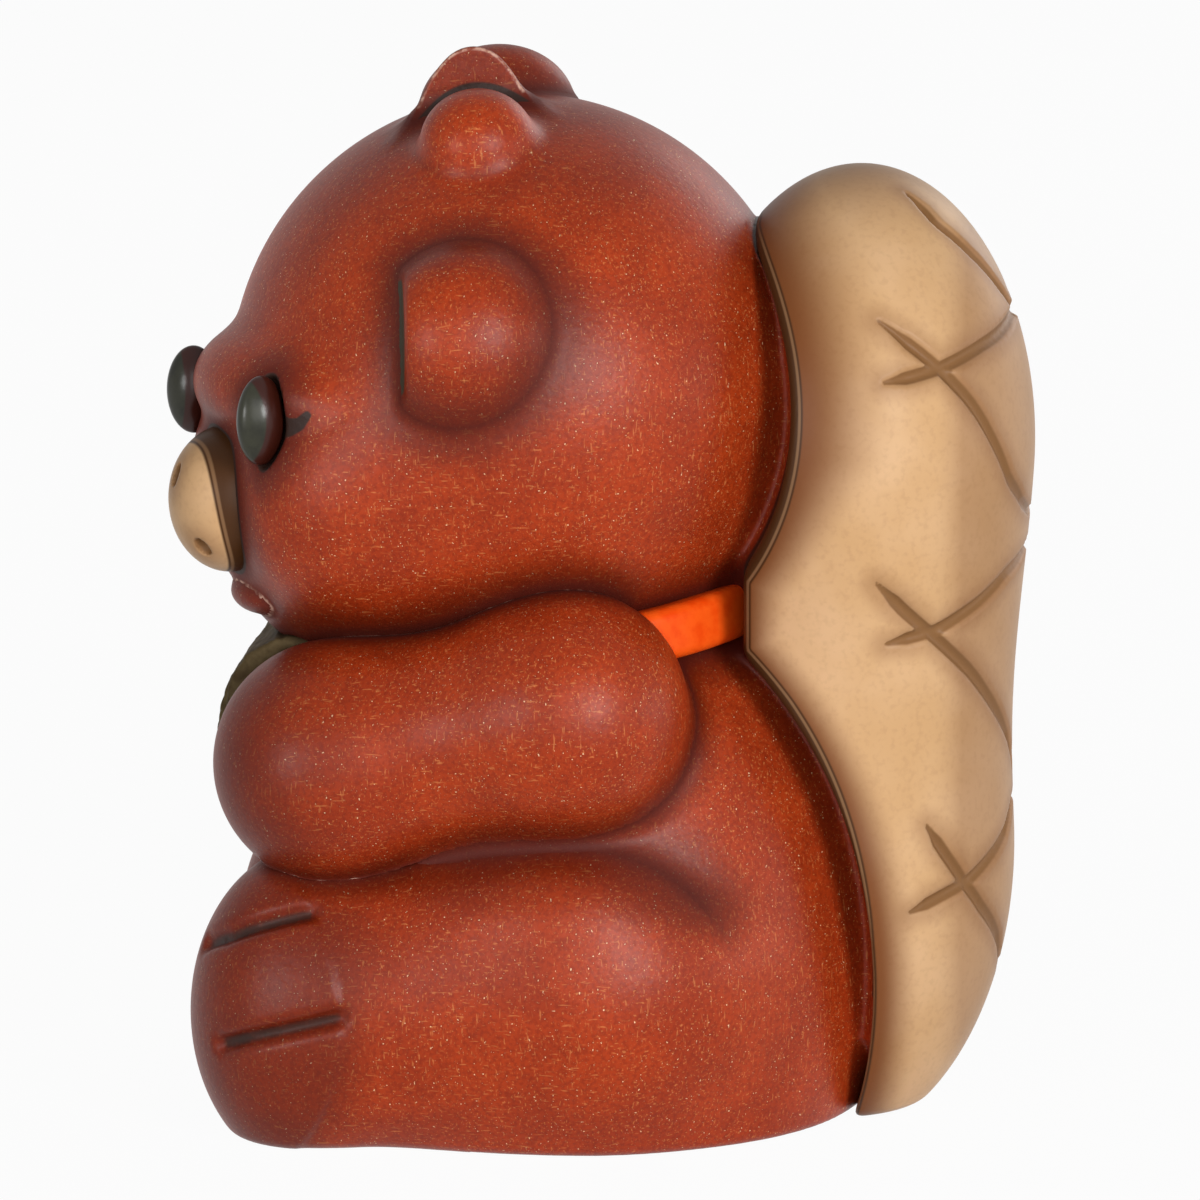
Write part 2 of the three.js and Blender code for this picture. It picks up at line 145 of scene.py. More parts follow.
floor_material = bpy.data.materials.new("pale_floor")
floor_material.use_nodes = True
floor_tree = floor_material.node_tree
floor_tree.nodes.clear()
matt = add_node(floor_tree, "ShaderNodeBsdfDiffuse", {"Color": (0.6, 0.6, 0.6, 1)})
glow = add_node(floor_tree, "ShaderNodeEmission", {"Strength": 1.0})
glow_share = maths(floor_tree, "MULTIPLY", ray_share(floor_tree), floor_white)
floor_layers = {0: glow_share, 1: matt.outputs[0], 2: glow.outputs[0]}
floor_mix = add_node(floor_tree, "ShaderNodeMixShader", floor_layers)
add_node(floor_tree, "ShaderNodeOutputMaterial", {"Surface": floor_mix.outputs[0]})

floor_half = 3.0
floor_mesh = bpy.data.meshes.new("floor")
floor_corners = [(sx * floor_half, sy * floor_half, 0) for sx, sy in ((-1, -1), (1, -1), (1, 1), (-1, 1))]
floor_mesh.from_pydata(floor_corners, [], [(0, 1, 2, 3)])
floor_mesh.materials.append(floor_material)
floor = bpy.data.objects.new("floor", floor_mesh)
bpy.context.scene.collection.objects.link(floor)
print("floor", 2 * floor_half, "m wide")


# %% Lamps
def soft_box(name, azimuth, height_angle, distance, size, watts):
    """An area lamp, wide and high as its size says, that faces the middle of the beaver."""
    data = bpy.data.lights.new(name, "AREA")
    data.shape = "RECTANGLE"
    data.size, data.size_y = size
    data.energy = watts
    lamp = bpy.data.objects.new(name, data)
    a, e = math.radians(azimuth), math.radians(height_angle)
    way = Vector((math.sin(a) * math.cos(e), -math.cos(a) * math.cos(e), math.sin(e)))
    lamp.location = camera_target + way * distance
    lamp.rotation_euler = way.to_track_quat("Z", "Y").to_euler()
    bpy.context.scene.collection.objects.link(lamp)


soft_box("front_box", 100, 10, 0.9, (0.6, 0.6), 3.0)
soft_box("right_box", 126, 13, 0.9, (0.24, 0.26), 4.8)
soft_box("left_box", 52, 8, 0.9, (0.2, 0.22), 2.3)
soft_box("tail_box", 180, 3, 1.0, (0.6, 0.18), 1.4)
soft_box("back_box", 235, 20, 1.0, (0.6, 0.6), 2.4)


# %% [markdown]
# ## Clay as distances
# A modeller's lump can be written as a function that says how far a point is from the lump's surface,
# negative inside. Two lumps are joined softly by a smooth minimum, which fills the crease between them as
# a wet finger does, and one is cut softly from another by the same function upside down. It keeps every
# form to a few sizes, and the pieces can be asked how near they are to each other, which is where shade is
# painted into the creases.

# %% Forms
def lump(centre, radii):
    """An egg with three half sizes."""
    rx, ry, rz = radii

    def form(x, y, z):
        px, py, pz = x - centre[0], y - centre[1], z - centre[2]
        level = np.sqrt((px / rx) ** 2 + (py / ry) ** 2 + (pz / rz) ** 2)
        steepness = np.sqrt((px / rx**2) ** 2 + (py / ry**2) ** 2 + (pz / rz**2) ** 2) + 1e-9
        return level * (level - 1) / steepness

    return form


def bar(start, end, radius):
    """A rod with round ends."""
    run = [e - s for s, e in zip(start, end)]
    square = sum(r * r for r in run)

    def form(x, y, z):
        px, py, pz = x - start[0], y - start[1], z - start[2]
        share = np.clip((px * run[0] + py * run[1] + pz * run[2]) / square, 0, 1)
        gx, gy, gz = px - share * run[0], py - share * run[1], pz - share * run[2]
        return np.sqrt(gx**2 + gy**2 + gz**2) - radius

    return form


def soft_join(first, second, width):
    share = np.clip(0.5 + 0.5 * (second - first) / width, 0, 1)
    return second + (first - second) * share - width * share * (1 - share)


def soft_cut(first, second, width):
    """What both have in common, with its edge rounded."""
    return -soft_join(-first, -second, width)


def fade(value, start, end):
    """0 at start, 1 at end, eased at both."""
    share = np.clip((value - start) / (end - start), 0, 1)
    return share * share * (3 - 2 * share)


def joined(first, *others):
    """A form to which others are joined softly one after another, each by its own width."""
    def form(x, y, z):
        result = first(x, y, z)
        for other, width in others:
            result = soft_join(result, other(x, y, z), width)
        return result
    return form


def mirrored(form):
    """A form of the left side, on both sides."""
    return lambda x, y, z: form(np.abs(x), y, z)


def run_along(points):
    """The distance from the first of a chain of points to each of them, along the chain."""
    return np.concatenate([[0], np.cumsum(np.linalg.norm(np.diff(points, axis=0), axis=1))])


def turned(a, b, turn):
    """Two coordinates along axes that are turned by an angle."""
    c, s = math.cos(turn), math.sin(turn)
    return c * a + s * b, c * b - s * a


ball = lump((0, 0, 0), (10, 10, 10))
print("a ball of 10 mm is", round(float(ball(12.0, 0.0, 0.0)), 2), "mm from a point at 12 mm")


# %% [markdown]
# ## From distances to a mesh
# A surface net turns a form into a mesh: the form is measured on a grid, each grid cell that the surface
# passes through gets one vertex, and neighbouring cells are joined by four-sided faces. The vertices are
# then slid onto the exact surface. Normals come from the form too, so that two pieces that share a soft
# join also share their shading.

# %% Surface net
corner_steps = [(i, j, k) for i in (0, 1) for j in (0, 1) for k in (0, 1)]


def net_points(values, at):
    """The mean of the places where the surface crosses each cell's edges, in grid steps."""
    heights = {c: values[at[:, 0] + c[0], at[:, 1] + c[1], at[:, 2] + c[2]] for c in corner_steps}
    total = np.zeros(at.shape)
    hits = np.zeros(len(at))
    for axis in range(3):
        for low_corner in (c for c in corner_steps if c[axis] == 0):
            high_corner = tuple(1 if n == axis else v for n, v in enumerate(low_corner))
            low, high = heights[low_corner], heights[high_corner]
            crossed = (low < 0) != (high < 0)
            place = at[crossed] + np.array(low_corner, float)
            place[:, axis] += low[crossed] / (low[crossed] - high[crossed])
            total[crossed] += place
            hits[crossed] += 1
    return total / hits[:, None]


def net_faces(inside, number):
    """One face for each grid edge that leaves the form, wound so that it looks outwards."""
    faces = []
    for axis in range(3):
        b, c = (axis + 1) % 3, (axis + 2) % 3
        low = [slice(None)] * 3
        high = [slice(None)] * 3
        low[axis], high[axis] = slice(None, -1), slice(1, None)
        starts_inside = inside[tuple(low)]
        edges = np.argwhere(starts_inside != inside[tuple(high)])
        ring = []
        for step_b, step_c in ((-1, -1), (0, -1), (0, 0), (-1, 0)):
            cell = edges.copy()
            cell[:, b] += step_b
            cell[:, c] += step_c
            ring.append(number[cell[:, 0], cell[:, 1], cell[:, 2]])
        quads = np.stack(ring, 1)
        outwards = starts_inside[edges[:, 0], edges[:, 1], edges[:, 2]]
        faces.append(np.where(outwards[:, None], quads, quads[:, ::-1]))
    return np.concatenate(faces)


def slopes(form, points, reach=0.01):
    columns = []
    for axis in range(3):
        step = np.zeros(3)
        step[axis] = reach
        columns.append((form(*(points + step).T) - form(*(points - step).T)) / (2 * reach))
    return np.stack(columns, 1)


def surface_net(form, low, high, step):
    """Points and faces of a form's surface inside a box."""
    axes = [np.arange(l, h + step, step, dtype=np.float32) for l, h in zip(low, high)]
    x, y, z = axes[0][:, None, None], axes[1][None, :, None], axes[2][None, None, :]
    values = np.array(np.broadcast_to(form(x, y, z), [len(a) for a in axes]), np.float32)
    for axis in range(3):
        ends = [slice(None)] * 3
        for end in (0, -1):
            ends[axis] = end
            values[tuple(ends)] = step
    inside = values < 0
    cells = [n - 1 for n in values.shape]
    count = np.zeros(cells, np.uint8)
    for i, j, k in corner_steps:
        count += inside[i : i + cells[0], j : j + cells[1], k : k + cells[2]]
    mixed = (count > 0) & (count < 8)
    number = np.full(cells, -1, np.int64)
    number[mixed] = np.arange(mixed.sum())
    at = np.argwhere(mixed)
    points = np.array([a[0] for a in axes]) + step * net_points(values, at)
    for _ in range(3):
        slope = slopes(form, points)
        gap = np.clip(form(*points.T), -step / 2, step / 2)
        points -= (gap / np.maximum((slope**2).sum(1), 0.25))[:, None] * slope
    return points, net_faces(inside, number)


# %% Mesh from points and faces
def new_mesh(name, points, faces, normals=None):
    mesh = bpy.data.meshes.new(name)
    mesh.vertices.add(len(points))
    mesh.vertices.foreach_set("co", (points * metres).astype(np.float32).ravel())
    mesh.loops.add(faces.size)
    mesh.loops.foreach_set("vertex_index", faces.astype(np.int32).ravel())
    mesh.polygons.add(len(faces))
    mesh.polygons.foreach_set("loop_start", np.arange(0, faces.size, faces.shape[1], dtype=np.int32))
    mesh.update(calc_edges=True)
    mesh.validate()
    mesh.shade_smooth()
    if normals is not None:
        mesh.normals_split_custom_set_from_vertices(normals.astype(np.float32).tolist())
    return mesh


def new_object(mesh):
    thing = bpy.data.objects.new(mesh.name, mesh)
    bpy.context.scene.collection.objects.link(thing)
    return thing


def keep_measure(mesh, name, values):
    """A number on each vertex that the glaze can read."""
    layer = mesh.attributes.new(name, "FLOAT", "POINT")
    layer.data.foreach_set("value", np.asarray(values, np.float32))


print("mesh helpers ready")


# %% [markdown]
# ## Torso, legs and arms
# The torso is an upright egg that the table cuts flat. Each leg is a thigh, a shin and a foot pressed as
# one, and each arm runs from the shoulder forward to the paw. Left and right are the same, so limbs are
# measured on the left side and mirrored by taking the size of x without its sign.

# %% Body forms
torso_centre = (0, -1, 14)
torso_half = (26.5, 27.2, 36)
torso = lump(torso_centre, torso_half)
leg_thigh = lump((16.2, -0.5, 14.6), (14.4, 15.6, 15.4))
leg_shin = lump((16.8, -13, 12.5), (12.4, 14, 14.2))
leg_foot = lump((17.4, -24.1, 11.3), (10.8, 10.8, 14.6))
leg_blend = 5
plain_leg = mirrored(joined(leg_thigh, (leg_shin, leg_blend), (leg_foot, leg_blend)))
shoulder = (20.5, -1.3, 39.5)
paw = (17.5, -22.0, 34.0)
arm_upper = lump(shoulder, (10.2, 10.2, 10.2))
arm_fore = bar(shoulder, paw, 9.7)
arm_paw = lump(paw, (10.3, 10.3, 10.3))
arm_blend = 4
arm = mirrored(joined(arm_fore, (arm_upper, arm_blend), (arm_paw, arm_blend)))
print("torso is", torso_centre[2] + torso_half[2], "mm high")

# %% Toes and thigh
# Two lines are pressed into each foot, running back from the toes and a little upwards. The toes stand
# out by a small step with a bowed edge, and the top of the thigh is a little fuller.
toe_lines = [
    [(20.6, -33.2, 17.9), (23.3, -31.0, 19.2), (24.6, -28.5, 20.4), (25.1, -26.1, 21.2), (25.2, -23.8, 21.8)],
    [(25.4, -31.3, 9.9), (27.2, -28.6, 11.0), (28.1, -25.9, 11.8), (28.5, -23.4, 12.5), (28.7, -20.8, 13.2)],
]
toe_line_radius = 0.45
toe_links = [bar(*ends, toe_line_radius) for line in toe_lines for ends in zip(line[:-1], line[1:])]
toe_line_edge = 1.4
toe_rise = 0.35
toe_edge_back, toe_edge_height, toe_edge_bow = -20.4, 12.2, 0.03
thigh_swell = 1.0
swell_back, swell_height = -3, 25
swell_length, swell_depth = 11, 4.5


def toe_line(x, y, z):
    """Distance from the pressed lines, each a chain of bars."""
    side = np.abs(x)
    result = toe_links[0](side, y, z)
    for link in toe_links[1:]:
        result = np.minimum(result, link(side, y, z))
    return result


def behind_toes(y, z):
    """How far back a place lies from the edge of the toes."""
    return y - toe_edge_back + toe_edge_bow * (z - toe_edge_height) ** 2


def leg(x, y, z):
    swell = np.exp(-(((z - swell_height) / swell_depth) ** 2) - ((y - swell_back) / swell_length) ** 2)
    step = toe_rise * fade(behind_toes(y, z), 0.5, -0.5)
    raised = plain_leg(x, y, z) - step - thigh_swell * swell
    return soft_cut(raised, -toe_line(x, y, z), toe_line_edge)


print("leg at a toe line", round(float(leg(22.5, -29.4, 19.8)), 2), "mm")


# %% Head frame
# The head is turned to the beaver's left. Head coordinates run left, forward and up from its middle.
head_centre = (0, -7.35, 65.6)
head_turn = math.radians(26)


def to_head(x, y, z):
    left, back = turned(x - head_centre[0], y - head_centre[1], head_turn)
    return left, -back, z - head_centre[2]


def in_head(form):
    return lambda x, y, z: form(*to_head(x, y, z))


skull_half = (26, 26.1, 26.2)
skull = lump((0, 0, 0), skull_half)
cheek_half = (12.6, 12.6, 12.6)
cheek = lump((5, 16.2, -8), cheek_half)
far_cheek = lump((-5, 16.2, -8), cheek_half)
chin = lump((0, 15, -16), (8, 9, 8))
nape_behind = 12
nape_place = (nape_behind * math.sin(head_turn), -nape_behind * math.cos(head_turn), -17.5)
nape = lump(nape_place, (9.5, 9.5, 7))
brow = lump((0, 19.5, 1), (14.5, 10.4, 6.6))
cheek_blend = 5
chin_blend = 5
nape_blend = 3
brow_blend = 1.2
bare_head = joined(
    skull, (cheek, cheek_blend), (far_cheek, cheek_blend), (chin, chin_blend), (nape, nape_blend),
    (brow, brow_blend),
)


def on_head(yaw, pitch, sink=0.0):
    """The point on the head in a direction from its middle, sunk along that direction."""
    yaw, pitch = math.radians(yaw), math.radians(pitch)
    way = np.array([math.sin(yaw) * math.cos(pitch), math.cos(yaw) * math.cos(pitch), math.sin(pitch)])
    reach = np.arange(15, 40, 0.01)
    hit = reach[np.argmax(bare_head(*(way[:, None] * reach)) > 0)]
    return way * (hit - sink)


eye_yaw = 18.6
eye_turn = math.radians(eye_yaw)
eye_place = on_head(eye_yaw, -0.7, -0.5)
print("left eye in head coordinates", np.round(eye_place, 1))

# %% Face forms
# An eye is an upright almond: what two eggs beside each other have in common.
eye_apart = 2.3
eye_half = (4.2, 3.1, 5.0)
eye_edge = 0.6
eye_groove = 0.35
muzzle_place = on_head(0, -17.7, 1.6)
muzzle_half = (5.8, 5.4, 6.6)
muzzle_lump = lump(muzzle_place, muzzle_half)
lip_lump = lump(on_head(0, -35.5, 1.2), (4.2, 2.6, 1.9))
pits = [(0.0, -6.4, (0.55, 1.2, 1.05)), (2.8, -12.6, (0.6, 1.2, 0.85))]
pit_edge = 0.2


def eye_axes(left, forward, up):
    """Coordinates on the eye: sideways, outwards and up from its middle."""
    sideways, outwards = turned(np.abs(left) - eye_place[0], forward - eye_place[1], -eye_turn)
    return sideways, outwards, up - eye_place[2]


def eye_form(left, forward, up):
    sideways, outwards, rise = eye_axes(left, forward, up)
    inner = lump((eye_apart, 0, 0), eye_half)(sideways, outwards, rise)
    outer = lump((-eye_apart, 0, 0), eye_half)(sideways, outwards, rise)
    return soft_cut(inner, outer, eye_edge)


def face_form(left, forward, up):
    """The head with a narrow groove round each eye."""
    return soft_cut(bare_head(left, forward, up), eye_groove - eye_form(left, forward, up), eye_groove)


def muzzle_surface(left, up):
    """How far forward the muzzle stands at a place on it."""
    rest = 1 - (left / muzzle_half[0]) ** 2 - ((up - muzzle_place[2]) / muzzle_half[2]) ** 2
    return muzzle_place[1] + muzzle_half[1] * math.sqrt(rest)


pit_forms = [lump((left, muzzle_surface(left, up), up), radii) for left, up, radii in pits]


def muzzle_form(left, forward, up):
    result = muzzle_lump(left, forward, up)
    for pit in pit_forms:
        result = soft_cut(result, -pit(np.abs(left), forward, up), pit_edge)
    return result


print("muzzle stands", round(float(muzzle_place[1] + muzzle_half[1]), 1), "mm forward of the head's middle")

# %% Ears and tuft
ear_place = on_head(58, 18.5, 4.3)
ear_dome = lump(ear_place, (8, 8.8, 8.9))
ear_cut_turn = math.radians(17)
ear_cut_forward = 6.2
right_ear_swing = math.radians(6)
ear_edge = 0.5


def ear_axes(left, forward):
    """Left and forward as the left ear has them. The right ear is its mirror, set a little further back."""
    side = np.abs(left)
    swing = np.where(left < 0, right_ear_swing, 0.0)
    return side * np.cos(swing) - forward * np.sin(swing), forward * np.cos(swing) + side * np.sin(swing)


def ear_front(left, forward):
    """How far a place lies in front of the ear's flat front face."""
    a, b = ear_axes(left, forward)
    return turned(a - ear_place[0], b - ear_place[1], ear_cut_turn)[1] - ear_cut_forward


def ear_form(left, forward, up):
    return soft_cut(ear_dome(*ear_axes(left, forward), up), ear_front(left, forward), ear_edge)


mound_form = lump(on_head(51, 64, 0.5), (5.2, 5.2, 5.0))
lock_place = on_head(30, 75, 2.1)
lock_spin = math.radians(21)
lock_apart = 3.8
lock_half = (3.2, 9.0, 9.4)
lock_tip = 2.4
lock_face = 0.3
lock_face_edge = 0.25
far_lock_form = lump(on_head(-92, 76, 1.5), (5, 7.4, 6.1))


def lock_axes(left, forward, up):
    """Coordinates on the broad lock: across it, along it and up."""
    across, along = turned(left - lock_place[0], forward - lock_place[1], lock_spin)
    return across, along, up - lock_place[2]


def lock_leaf(across, along, rise):
    front = lump((0, -lock_apart, 0), lock_half)(across, along, rise)
    back = lump((0, lock_apart, 0), lock_half)(across, along, rise)
    return soft_cut(front, back, lock_tip)


def lock_form(left, forward, up):
    """The broad lock, an upright pointed leaf whose outer side is pressed flat."""
    across, along, rise = lock_axes(left, forward, up)
    return soft_cut(lock_leaf(across, along, rise), across - lock_face, lock_face_edge)


print("left ear in head coordinates", np.round(ear_place, 1))

# %% Tail form
tail_top_centre = (0, 23.5, 60.9)
tail_top_half = (19, 15.75, 24.95)
tail_top = lump(tail_top_centre, tail_top_half)
tail_foot = lump((0, 20.7, 23.7), (17.5, 17, 27.6))
tail_blend = 14
tail_front = 14.0
tail_bed_edge = 0.7
tail_bed_sink = 0.4


def tail_bed(y, z, sink=0.0):
    """Distances outside the two hollows in which the tail lies against the head and the torso.

    A hollow runs right across the figure, so it is an egg whose half width has no end.
    """
    beds = ((head_centre, skull_half), (torso_centre, torso_half))
    return [lump(centre, (math.inf, half[1] - sink, half[2] - sink))(0, y, z) for centre, half in beds]


def tail(x, y, z):
    paddle = soft_join(tail_top(x, y, z), tail_foot(x, y, z), tail_blend)
    paddle = soft_cut(paddle, tail_front - y, tail_bed_edge)
    head_bed, torso_bed = tail_bed(y, z, tail_bed_sink)
    return soft_cut(soft_cut(paddle, -head_bed, tail_bed_edge), -torso_bed, tail_bed_edge)


print("tail reaches back to", tail_top_centre[1] + tail_top_half[1], "mm")

# %% Scarf and log forms
scarf_centre = (0, -3.2, 43.9)
scarf_radius = 17.2
scarf_half_thickness = 1.8
scarf_half_height = 2.4
scarf_tilt = math.radians(9)


def scarf(x, y, z):
    along, rise = turned(y - scarf_centre[1], z - scarf_centre[2], scarf_tilt)
    out = np.sqrt(x * x + along * along) - scarf_radius
    return np.maximum(np.abs(out) - scarf_half_thickness, np.abs(rise) - scarf_half_height)


log_centre = (0, -23.6, 34.8)
log_radius = 10.4
log_half_length = 9
stub_radius = 6.4
stub_length = 4
stub_forward = 2.6
stub_rise = 3.2
log_edge = 0.8


def log(x, y, z):
    dy, dz = y - log_centre[1], z - log_centre[2]
    trunk = soft_cut(np.sqrt(dy * dy + dz * dz) - log_radius, np.abs(x) - log_half_length, log_edge)
    stub_round = np.sqrt((dy + stub_forward) ** 2 + (dz - stub_rise) ** 2) - stub_radius
    stub = soft_cut(stub_round, np.abs(x) - log_half_length - stub_length, log_edge)
    return np.minimum(trunk, stub)


print("log is", 2 * log_radius, "mm thick")


# %% [markdown]
# ## Which piece is near which
# A finger-soft join belongs half to each of its two pieces. The upper piece keeps its half exactly, and
# the lower one runs a little way on beneath it, sunk by a few hundredths of a millimetre, so that no
# crack shows between them. Every vertex also keeps its distance to the nearest other piece. The glazes
# use it for the painted shade in the creases.

# %% Joined groups
hip_blend = 5.0
hip_top_blend = 1.6
hip_top_heights = (16, 27)
join_reach = 6
arm_pit_blend = 3.8
arm_on_leg_blend = 0.8
mound_blend = 1.8
lock_on_mound_blend = 0.4
lock_blend = 3.5
far_lock_blend = 1.2
ear_blend = 1.3
lip_blend = 0.6
base_edge = 1.0
tuck = 0.03
run_on = 0.7


def join_width(first, second, at_first, at_second):
    """A width that goes from one value where the first form is nearer to another where the second is."""
    share = np.clip((first - second) / join_reach + 0.5, 0, 1)
    return at_first + (at_second - at_first) * share


def seat(x, y, z):
    """Torso and legs in one, with a tighter crease above the thigh."""
    width = hip_blend + (hip_top_blend - hip_blend) * fade(z, *hip_top_heights)
    return soft_join(torso(x, y, z), leg(x, y, z), width)


def body(x, y, z):
    """Torso, legs and arms in one, with a tighter crease where the arms lie on the legs."""
    width = join_width(leg(x, y, z), torso(x, y, z), arm_on_leg_blend, arm_pit_blend)
    return soft_join(seat(x, y, z), arm(x, y, z), width)


def head_group(left, forward, up):
    """The head with all that is stuck on it, the broad lock with a sharp crease against the mound."""
    face = face_form(left, forward, up)
    crown = mound_form(left, forward, up)
    result = soft_join(face, ear_form(left, forward, up), ear_blend)
    result = soft_join(result, crown, mound_blend)
    width = join_width(crown, face, lock_on_mound_blend, lock_blend)
    result = soft_join(result, lock_form(left, forward, up), width)
    result = soft_join(result, far_lock_form(left, forward, up), far_lock_blend)
    return soft_join(result, lip_lump(left, forward, up), lip_blend)


head = in_head(face_form)
eyes = in_head(eye_form)
muzzle = in_head(muzzle_form)
lip = in_head(lip_lump)
ears = in_head(ear_form)
mound = in_head(mound_form)
lock = in_head(lock_form)
far_lock = in_head(far_lock_form)
whole_head = in_head(head_group)
print("seat at the hip", round(float(seat(24.0, 0.0, 20.0)), 2), "mm")

# %% Slip along the tail
# Slip is wiped along the tail's edges, so that no deep gap is left beside the rounder head and torso.
slip_blend = 4.0
slip_top_blend = 1.0
slip_depth = 0.15
slip_foot_depth = 2.5
slip_foot_heights = (3, 8)
slip_top_heights = (70, 80)
slip_floor = 3.5
slip_reach = 7.0


def slipped(group):
    """A group with its slip against the tail, just under the tail's surface and deeper at its foot."""
    def form(x, y, z):
        depth = np.interp(z, slip_foot_heights, (slip_foot_depth, slip_depth))
        width = np.interp(z, slip_top_heights, (slip_blend, slip_top_blend))
        return soft_join(group(x, y, z), tail(x, y, z) + depth, width)
    return form


def beside_tail(form, own):
    """A form without what lies inside the tail or far from the piece itself."""
    return lambda x, y, z: np.max(
        np.broadcast_arrays(form(x, y, z), -tail(x, y, z) - slip_floor, own(x, y, z) - slip_reach), axis=0
    )


print("slip reaches", slip_reach, "mm from its piece")


# %% Shares of a group
def on_table(form):
    return lambda x, y, z: soft_cut(form(x, y, z), -z, base_edge)


def owned(group, own, others, sunk=0.0, beneath=0.0):
    """The part of a joined group that lies nearer to one piece than to the others."""
    def form(x, y, z):
        result = group(x, y, z) + sunk
        mine = own(x, y, z)
        for other in others:
            result = np.maximum(result, mine - other(x, y, z) - beneath)
        return result
    return form


def under(group, own, others):
    """As owned, but sunk a little and running on beneath the other pieces."""
    return owned(group, own, others, tuck, run_on)


print("a lower piece runs on", run_on, "mm beneath an upper one")


# %% Glaze helpers
# Colours are written as the eye sees them, in sRGB, and turned into linear light.
def srgb(red, green, blue):
    def linear(value):
        value /= 255
        return value / 12.92 if value <= 0.04045 else ((value + 0.055) / 1.055) ** 2.4
    return (linear(red), linear(green), linear(blue), 1.0)


peel_depth = 0.2 * metres


class Glaze:
    """A material whose colour is built up in layers, each painted over the last by a share."""

    def __init__(self, name, first_colour):
        self.material = bpy.data.materials.new(name)
        self.material.use_nodes = True
        self.tree = self.material.node_tree
        self.shader = self.tree.nodes["Principled BSDF"]
        self.colour = first_colour

    def measure(self, name):
        """A distance that is kept on the vertices."""
        return add_node(self.tree, "ShaderNodeAttribute", attribute_name=name).outputs["Fac"]

    def ramp(self, *ends):
        return ramp(self.tree, *ends)

    def times(self, first, second):
        return maths(self.tree, "MULTIPLY", first, second)

    def speckle(self, scale, stretch=(1, 1, 1), turn=(0, 0, 0), detail=2.0):
        """Noise on the piece's own coordinates, stretched and turned."""
        place = add_node(self.tree, "ShaderNodeTexCoord").outputs["Object"]
        laid = {"Vector": place, "Rotation": turn, "Scale": stretch}
        mapping = add_node(self.tree, "ShaderNodeMapping", laid)
        grains = {"Vector": mapping.outputs[0], "Scale": scale, "Detail": detail}
        return add_node(self.tree, "ShaderNodeTexNoise", grains).outputs["Fac"]

    def paint(self, colour, share):
        """Another colour over what is there."""
        layers = {"Factor": share, 6: self.colour, 7: colour}
        mix = add_node(self.tree, "ShaderNodeMix", layers, data_type="RGBA", clamp_factor=True)
        self.colour = mix.outputs[2]

    def fire(self, roughness, gloss, peel_scale, peel_strength):
        """Join the colour to the shader, with its gloss and the fine unevenness of a brushed glaze."""
        peel = {"Distance": peel_depth, "Strength": peel_strength, "Height": self.speckle(peel_scale)}
        bump = add_node(self.tree, "ShaderNodeBump", peel)
        put(self.tree, self.shader.inputs["Base Color"], self.colour)
        put(self.tree, self.shader.inputs["Roughness"], roughness)
        put(self.tree, self.shader.inputs["Specular IOR Level"], gloss)
        put(self.tree, self.shader.inputs["Normal"], bump.outputs[0])


print("a middle grey is", round(srgb(128, 128, 128)[0], 3), "in linear light")

# %% [markdown]
# ## The red-brown glaze
# Most of the figure has a red-brown satin glaze, brushed on thin. Fine golden hairs in it show as short
# strokes in all directions, with a few bright sparks, painted glints off flakes in the glaze. Shade is
# painted in every crease, under the chin, on the crown and above the tail; the toes, paw fronts and locks
# are painted darker; and thin dark lines are painted along the seams, the one in the groove by the mound
# being painted shade. A thin light rim, bare clay with a painted glint, runs along some edges. Three
# layers of noise, each stretched along another way, make the hairs. The painted shade, the lines and the
# rims read the distances kept on the vertices.

# %% Brown glaze
red_deep = srgb(106, 22, 4)
red_mid = srgb(172, 58, 17)
gold_hair = srgb(222, 140, 80)
gold_spark_glint = srgb(250, 214, 170)
wash_dark = srgb(68, 13, 3)
line_dark = srgb(40, 20, 12)
bare_clay_and_glint = srgb(214, 170, 150)
olive_dark = srgb(52, 50, 36)

brown = Glaze("brown_glaze", red_deep)
cloudy = brown.ramp(brown.speckle(160, detail=3.0), 0.35, 0.65)
brown.paint(red_mid, brown.ramp(cloudy, 0.0, 1.0, 0.66, 0.92))
grain = brown.ramp(brown.speckle(2600, detail=3.0), 0.38, 0.68)
brown.paint(red_deep, brown.times(grain, 0.4))
hair_ways = [
    ((0.16, 1, 1), (0.3, 0.5, 0.2)),
    ((1, 0.16, 1), (0.7, 0.2, 0.6)),
    ((1, 1, 0.16), (0.2, 0.6, 0.9)),
]
for stretch, turn in hair_ways:
    hairs = brown.ramp(brown.speckle(4800, stretch, turn, 1.0), 0.64, 0.76)
    brown.paint(gold_hair, brown.times(hairs, 0.4))
# Bright sparks: flakes in the glaze with painted glints of light on them.
spark_glints = brown.ramp(brown.speckle(5200, detail=0.0), 0.79, 0.84)
brown.paint(gold_spark_glint, brown.times(spark_glints, 0.8))
near = brown.measure("near")
# Painted shade in the creases, under the chin, on the crown and above the tail, and darker paint on the toes,
# paw fronts and locks, all by the distance kept as near.
brown.paint(wash_dark, brown.ramp(near, 5.0, 0.6, 0.0, 0.78))
brown.paint(wash_dark, brown.ramp(near, 1.4, 0.1, 0.0, 0.8))
# Dark painted lines. On the broad lock, the line in the groove by the mound is painted shade.
brown.paint(line_dark, brown.ramp(brown.measure("line"), 0.1, -0.1))
brown.paint(olive_dark, brown.ramp(brown.measure("olive"), 0.08, -0.08))
# A thin light rim along some edges, broken by noise: bare clay with a painted glint.
broken = brown.ramp(brown.speckle(1100), 0.38, 0.58, 0.15, 0.9)
brown.paint(bare_clay_and_glint, brown.times(brown.ramp(brown.measure("bare"), 0.08, -0.08), broken))
brown.fire(brown.ramp(near, 0.2, 2.0, 0.65, 0.42), 0.24, 1500, 0.2)
print("brown glaze has", len(brown.tree.nodes), "nodes")

